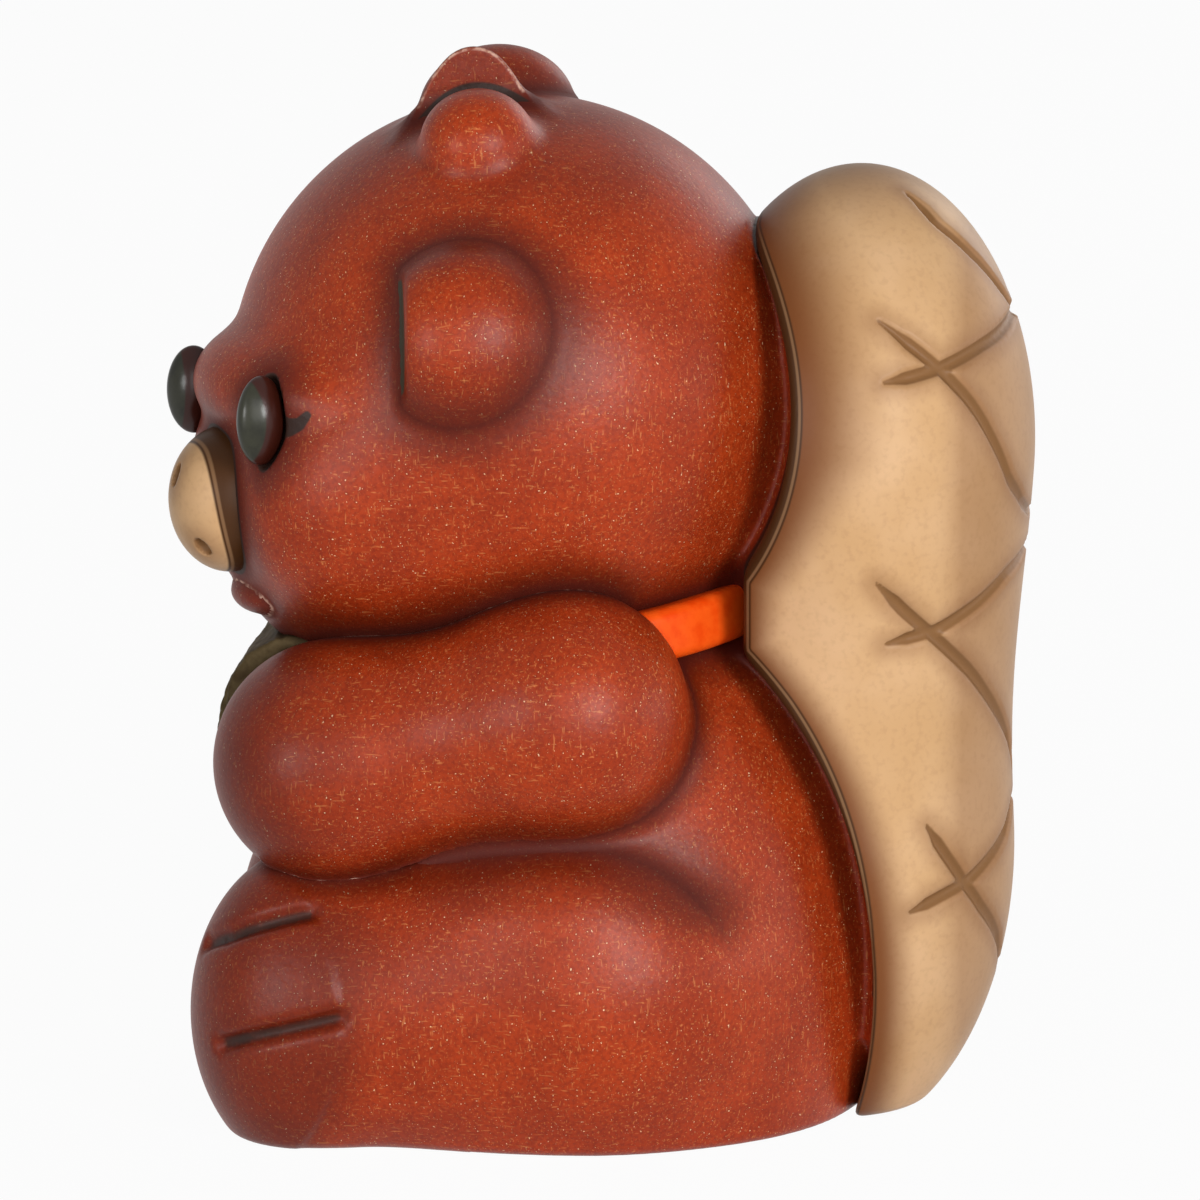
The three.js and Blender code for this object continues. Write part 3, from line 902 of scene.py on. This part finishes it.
# %% [markdown]
# ## The tan, orange, black and bark glazes
# The tail and muzzle are tan, brushed brown towards their edges and dark in the carved lines. By the tail's
# edge the brown is partly painted shade, and a lighter painted glint line runs inside the dark seam band
# and the muzzle's dark rim. The scarf is orange, the eyes and the inside of the ears are olive-black, and
# the log is olive-brown. Each glaze has painted shade in its creases.

# %% Tan glaze
tan_light = srgb(214, 174, 132)
tan_soft = srgb(202, 160, 114)
tan_brushed_and_shade = srgb(112, 60, 24)
groove_brown = srgb(132, 94, 58)
seam_and_shade_brown = srgb(70, 42, 20)
seam_ridge_glint = srgb(142, 106, 74)

tan = Glaze("tan_glaze", tan_light)
tan.paint(tan_soft, tan.ramp(tan.speckle(90, detail=3.0), 0.3, 0.7))
tan_grain = tan.ramp(tan.speckle(1700), 0.45, 0.75)
tan.paint(tan_brushed_and_shade, tan.times(tan_grain, 0.1))
# Brushed brown by the tail's edge against the head and torso, partly painted shade, and on the top and the
# outer side.
tan.paint(tan_brushed_and_shade, tan.ramp(tan.measure("brush"), 9.5, 0.6, 0.0, 0.95))
tan_line = tan.measure("line")
# Painted shade round the carved lines.
tan.paint(tan_brushed_and_shade, tan.ramp(tan_line, 2.2, 0.0, 0.0, 0.35))
tan.paint(groove_brown, tan.ramp(tan_line, 0.08, -0.12))
tan_edge = tan.measure("edge")
# Dark lines along the tail's seam and round the muzzle, with a lighter painted glint line between them.
tan.paint(seam_and_shade_brown, tan.ramp(tan_edge, 0.85, 0.65))
seam_glint_share = tan.times(tan.ramp(tan_edge, 0.25, 0.4), tan.ramp(tan_edge, 0.62, 0.5))
tan.paint(seam_ridge_glint, tan.times(seam_glint_share, 0.7))
# Painted shade where the tail or the muzzle meets another piece.
tan.paint(seam_and_shade_brown, tan.ramp(tan.measure("near"), 0.5, 0.1, 0.0, 0.9))
tan.fire(0.4, 0.14, 900, 0.08)
print("tan glaze has", len(tan.tree.nodes), "nodes")


# %% Plain glazes
def plain_glaze(name, light, dark, wash, wash_width):
    """A glaze of two cloudy colours, with painted shade of its own in the creases."""
    glaze = Glaze(name, light)
    glaze.paint(dark, glaze.ramp(glaze.speckle(700, detail=3.0), 0.35, 0.7))
    glaze.paint(wash, glaze.ramp(glaze.measure("near"), wash_width, 0.0, 0.0, 0.8))
    return glaze


plain_peel = (1300, 0.08)
# Each plain glaze: its light and cloudy dark colours, the colour of its painted crease shade and how far that
# shade reaches.
orange = plain_glaze("orange_glaze", srgb(252, 92, 20), srgb(244, 74, 8), srgb(120, 34, 8), 0.4)
orange.fire(0.4, 0.14, *plain_peel)
bark = plain_glaze("bark_glaze", srgb(100, 86, 60), srgb(76, 62, 42), srgb(36, 24, 14), 1.0)
bark.fire(0.6, 0.03, *plain_peel)
black = plain_glaze("black_glaze", srgb(48, 48, 36), srgb(34, 34, 25), srgb(40, 12, 6), 1.0)
eye_side = srgb(52, 18, 10)
black.paint(eye_side, black.ramp(black.measure("olive"), -0.12, 0.12))
black.fire(0.28, 0.3, *plain_peel)
print("glazes", [glaze.material.name for glaze in (brown, tan, orange, black, bark)])


# %% [markdown]
# ## Casting the pieces
# One function casts every clay piece: it measures the form in a box round the solid model's node, makes
# the mesh, and keeps the distances that the glaze reads. A painted line is given as a distance that is
# negative inside the line.

# %% Cast a piece
box_margin = 2.5
far_off = 10.0
all_forms = {
    "head_shell": head, "torso_shell": torso, "neck_scarf": scarf, "tail_paddle": tail,
    "legs": leg, "arms": arm, "muzzle": muzzle, "lower_lip": lip, "eyes": eyes, "ears": ears,
    "tuft_mound": mound, "tuft_left_lock": lock, "tuft_right_lock": far_lock, "held_log": log,
}
limbs = ("leg", "arm", "eye", "ear")
families = {side + "_" + limb: limb + "s" for side in ("left", "right") for limb in limbs}
made = {}

# Some pairs of pieces count as farther apart than they are, which thins the painted shade between them.
# Each pair has this extra distance, and what is added to it towards the table: how much, from which height
# and down to which.
apart = {
    ("head_shell", "tuft_mound"): (2.8, 0, 1, 0),
    ("head_shell", "tail_paddle"): (2.6, 0, 1, 0),
    ("head_shell", "ears"): (0.6, 0, 1, 0),
    ("head_shell", "lower_lip"): (0.9, 0, 1, 0),
    ("torso_shell", "legs"): (0.3, 8, 24, 12),
    ("torso_shell", "arms"): (0.5, 0, 1, 0),
    ("torso_shell", "tail_paddle"): (2.0, 1.5, 30, 10),
    ("legs", "arms"): (0.4, 0, 1, 0),
}
touching = (0, 0, 1, 0)


def nearest_other(name, points):
    """Each point's distance to the nearest other piece, less the height of the fillet that it lies on.

    The slip along the tail keeps its full distance.
    """
    family = families.get(name, name)
    height = np.maximum(all_forms[family](*points.T), 0)
    best = np.full(len(points), far_off)
    for other, form in all_forms.items():
        if other != family:
            base, more, start, end = apart.get((family, other), apart.get((other, family), touching))
            extra = base + more * fade(points[:, 2], start, end)
            fillet = 0 if other == "tail_paddle" else height
            best = np.minimum(best, np.maximum(form(*points.T) - fillet, 0) + extra)
    return best


def keep_paint(mesh, name, points, **paints):
    """Store the distances that the glaze reads: to the nearest piece or painted shade, and to each painted
    mark.
    """
    near_other = nearest_other(name, points)
    # Painted shade reads this distance: the nearest other piece's, or the piece's own painted-shade distance
    # where that is less.
    wash = paints.get("wash")
    keep_measure(mesh, "near", near_other if wash is None else np.minimum(near_other, wash(points)))
    for mark in ("line", "bare", "olive", "brush", "edge"):
        paint = paints.get(mark)
        keep_measure(mesh, mark, np.full(len(points), far_off) if paint is None else paint(points))


def cast(name, form, step, glaze, group=None, **paints):
    low, high = (np.array(corner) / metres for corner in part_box(name))
    points, faces = surface_net(form, low - box_margin, high + box_margin, step)
    normals = None
    if group is not None:
        normals = slopes(group, points)
        normals /= np.linalg.norm(normals, axis=1)[:, None] + 1e-9
    mesh = new_mesh(name + "_skin", points, faces, normals)
    keep_paint(mesh, name, points, **paints)
    mesh.materials.append(glaze.material)
    made[name] = new_object(mesh)
    print(name, len(points), "vertices")


print("forms to measure against", len(all_forms))

# %% Marks on the torso and limbs
seam_half_width = 0.25
seam_foot = 12
toe_paint_width = 0.12
arm_rim_half_width = 0.12


def seam_line(points):
    """The dark line along the tail's edge, which stops above the tail's foot."""
    return np.maximum(np.abs(tail(*points.T)) - seam_half_width, seam_foot - points[:, 2])


def toe_paint(points):
    return toe_line(*points.T) - toe_paint_width


def toe_wash(points):
    """Where a leg is darker: painted shade along the toe lines, and darker paint over the toes and a little
    behind them.
    """
    behind = behind_toes(points[:, 1], points[:, 2])
    spread = np.interp(points[:, 2], [12, 20], [0.6, 0.25])
    return np.minimum(toe_line(*points.T) * 1.5 + 1.2, 2.0 + np.maximum(behind, 0) * spread)


def paw_wash(points):
    """Where an arm is darker: darker paint on the front of a paw, and painted shade, broader than elsewhere,
    under the chin.
    """
    y = points[:, 1]
    under_chin = head(*points.T) * 0.55 + 1.2 + 6 * fade(y, -16, -4)
    return np.minimum(np.interp(y, [-30, -14], [1.6, 5.0]), under_chin)


def arm_edge(points):
    """The thin light rim where an arm meets the head or a leg: bare clay with a painted glint."""
    return np.minimum(np.abs(head(*points.T)), np.abs(leg(*points.T))) - arm_rim_half_width


print("seam line is", 2 * seam_half_width, "mm wide")

# %% Cast the torso and limbs
body_on_table = on_table(body)
seat_on_table = on_table(seat)
slip_body = on_table(slipped(body))
torso_clay = beside_tail(under(slip_body, torso, [leg, arm]), torso)
cast("torso_shell", torso_clay, 0.5, brown, slip_body, line=seam_line)
for side in ("left", "right"):
    leg_clay = owned(seat_on_table, leg, [torso])
    cast(side + "_leg", leg_clay, 0.5, brown, seat_on_table, line=toe_paint, wash=toe_wash)
    arm_clay = owned(body_on_table, arm, [seat])
    cast(side + "_arm", arm_clay, 0.5, brown, body_on_table, bare=arm_edge, wash=paw_wash)

# %% Marks on the head
lash_ways = [(21.2, -1.4), (23.6, -1.6), (25.8, -0.9), (27.4, 0.9)]
lash_points = [on_head(yaw, pitch) for yaw, pitch in lash_ways]
lash_radii = [1.3, 0.85, 0.6, 0.4]
muzzle_ring_width = 0.35
eye_ring_width = 0.55
eye_front_depth, eye_front_bow = 0.75, 0.03
glint_half_width = 0.1
ear_rim = 0.35
ear_front_depth = 0.3
lock_rim_half_width = 0.17
lock_rim_foot = 1.5
lock_wash_near = 2.6
groove_shade_width = 2.3


def stroke_line(points, places, radii):
    """Distance from a painted stroke that swells and tapers."""
    best = np.full(len(points), far_off)
    for start, end, r0, r1 in zip(places[:-1], places[1:], radii[:-1], radii[1:]):
        run = end - start
        share = np.clip((points - start) @ run / (run @ run), 0, 1)
        gap = np.linalg.norm(points - start - share[:, None] * run, axis=1)
        best = np.minimum(best, gap - (r0 + (r1 - r0) * share))
    return best


def head_line(points):
    left, forward, up = to_head(*points.T)
    on_left = np.stack([np.abs(left), forward, up], 1)
    lashes = stroke_line(on_left, lash_points, lash_radii)
    muzzle_ring = muzzle_form(left, forward, up) - muzzle_ring_width
    eye_ring = eye_form(left, forward, up) - eye_ring_width
    return np.min([lashes, muzzle_ring, eye_ring, seam_line(points)], axis=0)


def head_wash(points):
    """Painted shade on the crown and, above the tail, on the back of the head."""
    z = points[:, 2]
    above_tail = tail(*points.T) * 0.25 + 2.8 + 6 * fade(z, 78, 64)
    return np.minimum(above_tail, np.interp(z, [76, 91], [5.0, 2.8]))


def ear_olive(points):
    """The dark inner face of an ear, inside its rim."""
    left, forward, up = to_head(*points.T)
    inside_rim = ear_dome(*ear_axes(left, forward), up) + ear_rim
    return np.maximum(inside_rim, -ear_front_depth - ear_front(left, forward))


def lock_rim(points):
    """The thin light rim round the flat side of the broad lock: bare clay with a painted glint."""
    across, along, rise = lock_axes(*to_head(*points.T))
    leaf = lock_leaf(across, along, rise)
    return np.maximum(np.hypot(across - lock_face, leaf) - lock_rim_half_width, lock_rim_foot - rise)


def eye_front(points):
    """The olive front of an eye. Its sides are dark brown."""
    sideways, outwards, rise = eye_axes(*to_head(*points.T))
    return eye_front_depth - outwards + eye_front_bow * rise * rise


def lock_wash(points):
    """A lock is painted darker all over, by the same ramps as the painted shade."""
    return np.full(len(points), lock_wash_near)


def lock_groove_shade(points):
    """Painted shade, as a dark band, in the groove between the broad lock and the mound."""
    return mound(*points.T) - groove_shade_width


def head_glint(points):
    """A thin painted glint round the lower lip, in the bare clay colour."""
    return np.abs(lip(*points.T) - glint_half_width) - glint_half_width


print("lash is", round(float(np.linalg.norm(lash_points[-1] - lash_points[0])), 1), "mm long")

# %% Cast the head
upper_pieces = [ears, mound, lock, far_lock, lip]
slip_head = slipped(whole_head)
head_clay = beside_tail(under(slip_head, head, upper_pieces), head)
cast("head_shell", head_clay, 0.4, brown, slip_head, line=head_line, bare=head_glint, wash=head_wash)
for side in ("left", "right"):
    cast(side + "_ear", owned(whole_head, ears, [head]), 0.3, brown, whole_head, olive=ear_olive)
    cast(side + "_eye", eyes, 0.2, black, olive=eye_front)
cast("tuft_mound", owned(whole_head, mound, [head, lock]), 0.3, brown, whole_head)
lock_marks = {"line": lock_groove_shade, "bare": lock_rim, "wash": lock_wash}
cast("tuft_left_lock", owned(whole_head, lock, [head, mound]), 0.25, brown, whole_head, **lock_marks)
cast("tuft_right_lock", owned(whole_head, far_lock, [head, lock]), 0.35, brown, whole_head, wash=lock_wash)
cast("lower_lip", owned(whole_head, lip, [head]), 0.3, brown, whole_head)


# %% Cast the muzzle
pit_paint_width = 0.1


def muzzle_rim(points):
    """The dark band round the muzzle, broader at the top."""
    left, forward, up = to_head(*points.T)
    return face_form(left, forward, up) - np.interp(up - muzzle_place[2], [-6, 6], [0.3, 1.3])


def muzzle_pits(points):
    left, forward, up = to_head(*points.T)
    return np.min([pit(np.abs(left), forward, up) for pit in pit_forms], axis=0) - pit_paint_width


cast("muzzle", muzzle, 0.25, tan, line=muzzle_pits, edge=muzzle_rim)

# %% [markdown]
# ## Geometry Nodes helpers
# What repeats or follows a path or a surface is made by a node tree: the carved lattice on the tail, the
# band of the scarf and the bark of the log. A tree has named inputs for its sizes. After it has run, the
# result is kept as a plain mesh and the modifier is taken off again, so that the piece is as simple to
# hand on as the others.

# %% Run a tree
def geometry_tree(name, inputs):
    tree = bpy.data.node_groups.new(name, "GeometryNodeTree")
    tree.interface.new_socket("Geometry", in_out="INPUT", socket_type="NodeSocketGeometry")
    for label, kind in inputs.items():
        tree.interface.new_socket(label, in_out="INPUT", socket_type="NodeSocket" + kind)
    tree.interface.new_socket("Geometry", in_out="OUTPUT", socket_type="NodeSocketGeometry")
    return tree, tree.nodes.new("NodeGroupInput").outputs, tree.nodes.new("NodeGroupOutput")


def run_tree(thing, tree, values):
    """Set the inputs by their identifiers, evaluate once and keep the result as the object's mesh."""
    modifier = thing.modifiers.new(tree.name, "NODES")
    modifier.node_group = tree
    identifiers = {item.name: item.identifier for item in tree.interface.items_tree if item.in_out == "INPUT"}
    for label, value in values.items():
        modifier[identifiers[label]] = value
    graph = bpy.context.evaluated_depsgraph_get()
    mesh = bpy.data.meshes.new_from_object(
        thing.evaluated_get(graph), preserve_all_data_layers=True, depsgraph=graph
    )
    thing.modifiers.remove(modifier)
    mesh.name = thing.data.name
    thing.data = mesh
    return mesh


def finish_tree(tree, geometry, enter, leave):
    """Every tree ends with real geometry and its glaze."""
    real = add_node(tree, "GeometryNodeRealizeInstances", {0: geometry})
    coat = {"Geometry": real.outputs[0], "Material": enter["Glaze"]}
    put(tree, leave.inputs[0], add_node(tree, "GeometryNodeSetMaterial", coat).outputs[0])


print("tree helpers ready")


# %% [markdown]
# ## Tail
# The tail is a thick paddle that stands up the back, and a lattice of tapered lines is cut into it with a
# round tool. Each stroke is drawn on the paddle by its distance round from the middle of the back and its
# height, on the left side and mirrored on the right. The strokes become a curve with a radius at each
# point. The tree finds the nearest stroke point for every vertex, presses the vertex in, and keeps the
# distance to the line's edge for the paint.

# %% Cast the tail
def tail_rim(y, z):
    """Distance from the front edge of the tail, where it meets the head and the torso."""
    return np.min([*tail_bed(y, z), y - tail_front], axis=0)


def tail_seam(points):
    """Distance from the tail's edge, along which dark lines with a lighter painted glint between them run out
    towards its foot.
    """
    x, y, z = points.T
    return tail_rim(y, z) + np.interp(z, [18, 40], [0.8, 0.0])


def tail_brush_and_shade(points):
    """Distance from where the tail is darkened: brushed brown and painted shade by its edge against the head
    and torso, brushed at the top and, more faintly, on the outer side.
    """
    x, y, z = points.T
    top = (86.5 - z) * 0.8 + 4.5
    side = np.maximum((36.5 - y) * 1.5 + 1, 5.6)
    return np.min([tail_rim(y, z) * np.interp(z, [45, 62], [2.4, 1.0]), top, side], axis=0)


cast("tail_paddle", on_table(tail), 0.3, tan, edge=tail_seam, brush=tail_brush_and_shade)

# %% Strokes on the tail
tail_core = 27.0
tail_strokes = [
    [(5.5, 84.0), (6.7, 81.6), (5.4, 78.9), (3.2, 75.9), (0, 72.6)],
    [(22.8, 68.9), (19.6, 69.4), (16.8, 69.9), (11.3, 71.2), (3.2, 72.6), (0, 73)],
    [(20.8, 74.1), (18.9, 71.9), (16.9, 69.6), (14.5, 66.7), (11.8, 62.8), (8.8, 58.8), (4.5, 56), (0, 54.5)],
    [(21.4, 45.3), (16.5, 46.2), (11.6, 48.2), (7.3, 50.2), (0, 51.8)],
    [(23.4, 50.9), (20, 48), (16.3, 45.3), (11.5, 41.8), (2.5, 34.4), (0, 31.4)],
    [(18.2, 20.7), (14.9, 21.8), (11.3, 22.8), (4.4, 25.9), (0, 29)],
    [(16.4, 28.4), (14.3, 25.4), (12.1, 22.7), (9, 19.8), (3.9, 16), (0, 12.5)],
]


def on_tail(around, height):
    """The point on the tail at a distance round from the middle of the back."""
    turns = np.radians(np.arange(0, 150, 1.0))
    reach = np.arange(0, 26, 0.05)
    x = np.sin(turns)[:, None] * reach
    y = tail_core + np.cos(turns)[:, None] * reach
    first_outside = np.argmax(tail(x, y, np.float64(height)) > 0, axis=1)
    rim = np.stack([np.sin(turns), np.cos(turns)], 1) * reach[first_outside][:, None]
    run = run_along(rim)
    return (np.interp(around, run, rim[:, 0]), tail_core + np.interp(around, run, rim[:, 1]), height)


print("strokes on one side", len(tail_strokes))

# %% Strokes as a curve
stroke_samples = 24
stroke_half_width = 0.62
stroke_tip = 0.35
stroke_data = bpy.data.curves.new("tail_strokes", "CURVE")
stroke_data.dimensions = "3D"
for stroke in tail_strokes:
    corners = np.array(stroke, float)
    run = run_along(corners)
    share = np.linspace(0, 1, stroke_samples)
    arounds = np.interp(share * run[-1], run, corners[:, 0])
    heights = np.interp(share * run[-1], run, corners[:, 1])
    fullness = fade(np.minimum(share * 8, 1.5 - share), 0.0, 0.8)
    taper = stroke_half_width * (stroke_tip + (1 - stroke_tip) * fullness)
    for side in (1, -1):
        spline = stroke_data.splines.new("POLY")
        spline.points.add(stroke_samples - 1)
        for n, (around, height) in enumerate(zip(arounds, heights)):
            x, y, z = on_tail(around, height)
            spline.points[n].co = (side * x * metres, y * metres, z * metres, 1)
            spline.points[n].radius = taper[n] * metres
strokes = bpy.data.objects.new("tail_strokes", stroke_data)
bpy.context.scene.collection.objects.link(strokes)
print("tail strokes", len(stroke_data.splines))

# %% Carving tree
stroke_point_gap = 0.1
press_outside, press_inside = 1.5, 0.2
carve, carve_in, carve_out = geometry_tree(
    "carved_lattice", {"Strokes": "Object", "Depth": "Float", "Widest": "Float", "Glaze": "Material"}
)
drawn = add_node(carve, "GeometryNodeObjectInfo", {"Object": carve_in["Strokes"]}).outputs["Geometry"]
dotted = {"Curve": drawn, "Length": stroke_point_gap * metres}
dots = add_node(carve, "GeometryNodeCurveToPoints", dotted, mode="LENGTH").outputs["Points"]
closest = add_node(carve, "GeometryNodeSampleNearest", {"Geometry": dots}).outputs["Index"]


def at_closest(kind, source):
    """What the nearest stroke point has, for each vertex."""
    sample = {"Geometry": dots, "Value": source, "Index": closest}
    return add_node(carve, "GeometryNodeSampleIndex", sample, data_type=kind).outputs[0]


place = add_node(carve, "GeometryNodeInputPosition").outputs[0]
radius = at_closest("FLOAT", add_node(carve, "GeometryNodeInputRadius").outputs[0])
gap = maths(carve, "v_DISTANCE", place, at_closest("FLOAT_VECTOR", place))
pressed = ramp(carve, maths(carve, "DIVIDE", gap, radius), press_outside, press_inside)
strength = maths(carve, "DIVIDE", radius, carve_in["Widest"])
depth = maths(carve, "MULTIPLY", maths(carve, "MULTIPLY", pressed, strength), carve_in["Depth"])
surface_way = add_node(carve, "GeometryNodeInputNormal").outputs[0]
inwards = maths(carve, "v_SCALE", surface_way, maths(carve, "MULTIPLY", depth, -1.0))
edge = maths(carve, "DIVIDE", maths(carve, "SUBTRACT", gap, radius), metres)
mark = {"Geometry": carve_in["Geometry"], "Name": "line", "Value": edge}
kept = add_node(carve, "GeometryNodeStoreNamedAttribute", mark, data_type="FLOAT", domain="POINT")
press = {"Geometry": kept.outputs[0], "Offset": inwards}
moved = add_node(carve, "GeometryNodeSetPosition", press)
finish_tree(carve, moved.outputs[0], carve_in, carve_out)
stroke_depth = 0.6
carved = run_tree(made["tail_paddle"], carve, {
    "Strokes": strokes, "Depth": stroke_depth * metres, "Widest": stroke_half_width * metres,
    "Glaze": tan.material,
})
bpy.data.objects.remove(strokes)
print("tail", len(carved.polygons), "faces")

# %% [markdown]
# ## Scarf and log
# The scarf follows a path: a flat band with rounded corners is drawn along a tilted ring in the crease of
# the neck. The log is cast like the other pieces, and a tree then roughens it with shallow furrows that
# run along the bark.

# %% Scarf tree
band, band_in, band_out = geometry_tree("scarf_band", {
    "Radius": "Float", "Thickness": "Float", "Height": "Float", "Corner": "Float",
    "Centre": "Vector", "Tilt": "Vector", "Glaze": "Material",
})
circle = {"Resolution": 128, "Radius": band_in["Radius"]}
ring = add_node(band, "GeometryNodeCurvePrimitiveCircle", circle, mode="RADIUS")
upright = add_node(band, "GeometryNodeSetCurveNormal", {"Curve": ring.outputs["Curve"]}, mode="Z_UP")
sides = {"Width": band_in["Thickness"], "Height": band_in["Height"]}
section = add_node(band, "GeometryNodeCurvePrimitiveQuadrilateral", sides, mode="RECTANGLE")
fillet = {"Curve": section.outputs[0], "Count": 6, "Radius": band_in["Corner"]}
rounded = add_node(band, "GeometryNodeFilletCurve", fillet, mode="POLY")
even = add_node(band, "GeometryNodeResampleCurve", {"Curve": rounded.outputs[0], "Count": 56})
sweep = {"Curve": upright.outputs[0], "Profile Curve": even.outputs[0]}
swept = add_node(band, "GeometryNodeCurveToMesh", sweep)
spot = {"Geometry": swept.outputs[0], "Translation": band_in["Centre"], "Rotation": band_in["Tilt"]}
set_down = add_node(band, "GeometryNodeTransform", spot)
smooth_band = add_node(band, "GeometryNodeSetShadeSmooth", {0: set_down.outputs[0]})
finish_tree(band, smooth_band.outputs[0], band_in, band_out)
print("scarf tree has", len(band.nodes), "nodes")

# %% Draw the scarf
scarf_corner = 1.1
made["neck_scarf"] = new_object(bpy.data.meshes.new("neck_scarf_skin"))
scarf_mesh = run_tree(made["neck_scarf"], band, {
    "Radius": scarf_radius * metres, "Thickness": 2 * scarf_half_thickness * metres,
    "Height": 2 * scarf_half_height * metres, "Corner": scarf_corner * metres,
    "Centre": tuple(v * metres for v in scarf_centre), "Tilt": (scarf_tilt, 0.0, 0.0),
    "Glaze": orange.material,
})
scarf_points = np.empty(3 * len(scarf_mesh.vertices), np.float32)
scarf_mesh.vertices.foreach_get("co", scarf_points)
keep_paint(scarf_mesh, "neck_scarf", scarf_points.reshape(-1, 3) / metres)
print("scarf", len(scarf_mesh.polygons), "faces")

# %% Bark tree
furrow_depth = 0.7
furrow_scale = 700.0
furrow_stretch = (0.15, 1.0, 1.0)
furrow_level = 0.6
rough, rough_in, rough_out = geometry_tree(
    "bark_furrows", {"Depth": "Float", "Scale": "Float", "Glaze": "Material"}
)
rough_place = add_node(rough, "GeometryNodeInputPosition").outputs[0]
drawn_out = maths(rough, "v_MULTIPLY", rough_place, furrow_stretch)
grains = {"Vector": drawn_out, "Scale": rough_in["Scale"], "Detail": 2.0}
furrows = add_node(rough, "ShaderNodeTexNoise", grains).outputs[0]
furrow = maths(rough, "MULTIPLY", maths(rough, "SUBTRACT", furrows, furrow_level), rough_in["Depth"])
outwards = add_node(rough, "GeometryNodeInputNormal").outputs[0]
push = {"Geometry": rough_in["Geometry"], "Offset": maths(rough, "v_SCALE", outwards, furrow)}
rough_moved = add_node(rough, "GeometryNodeSetPosition", push)
finish_tree(rough, rough_moved.outputs[0], rough_in, rough_out)
cast("held_log", log, 0.3, bark)
log_mesh = run_tree(made["held_log"], rough, {
    "Depth": furrow_depth * metres, "Scale": furrow_scale, "Glaze": bark.material,
})
print("log", len(log_mesh.polygons), "faces")

# %% [markdown]
# ## Hand the pieces to the frame
# Each skin stands for the solid model's node of the same name. Ceramic has no moving parts, so everything
# rides on the one body.

# %% Ride, replace and finish
for node, piece in made.items():
    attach(piece, "root")
    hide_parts(node)
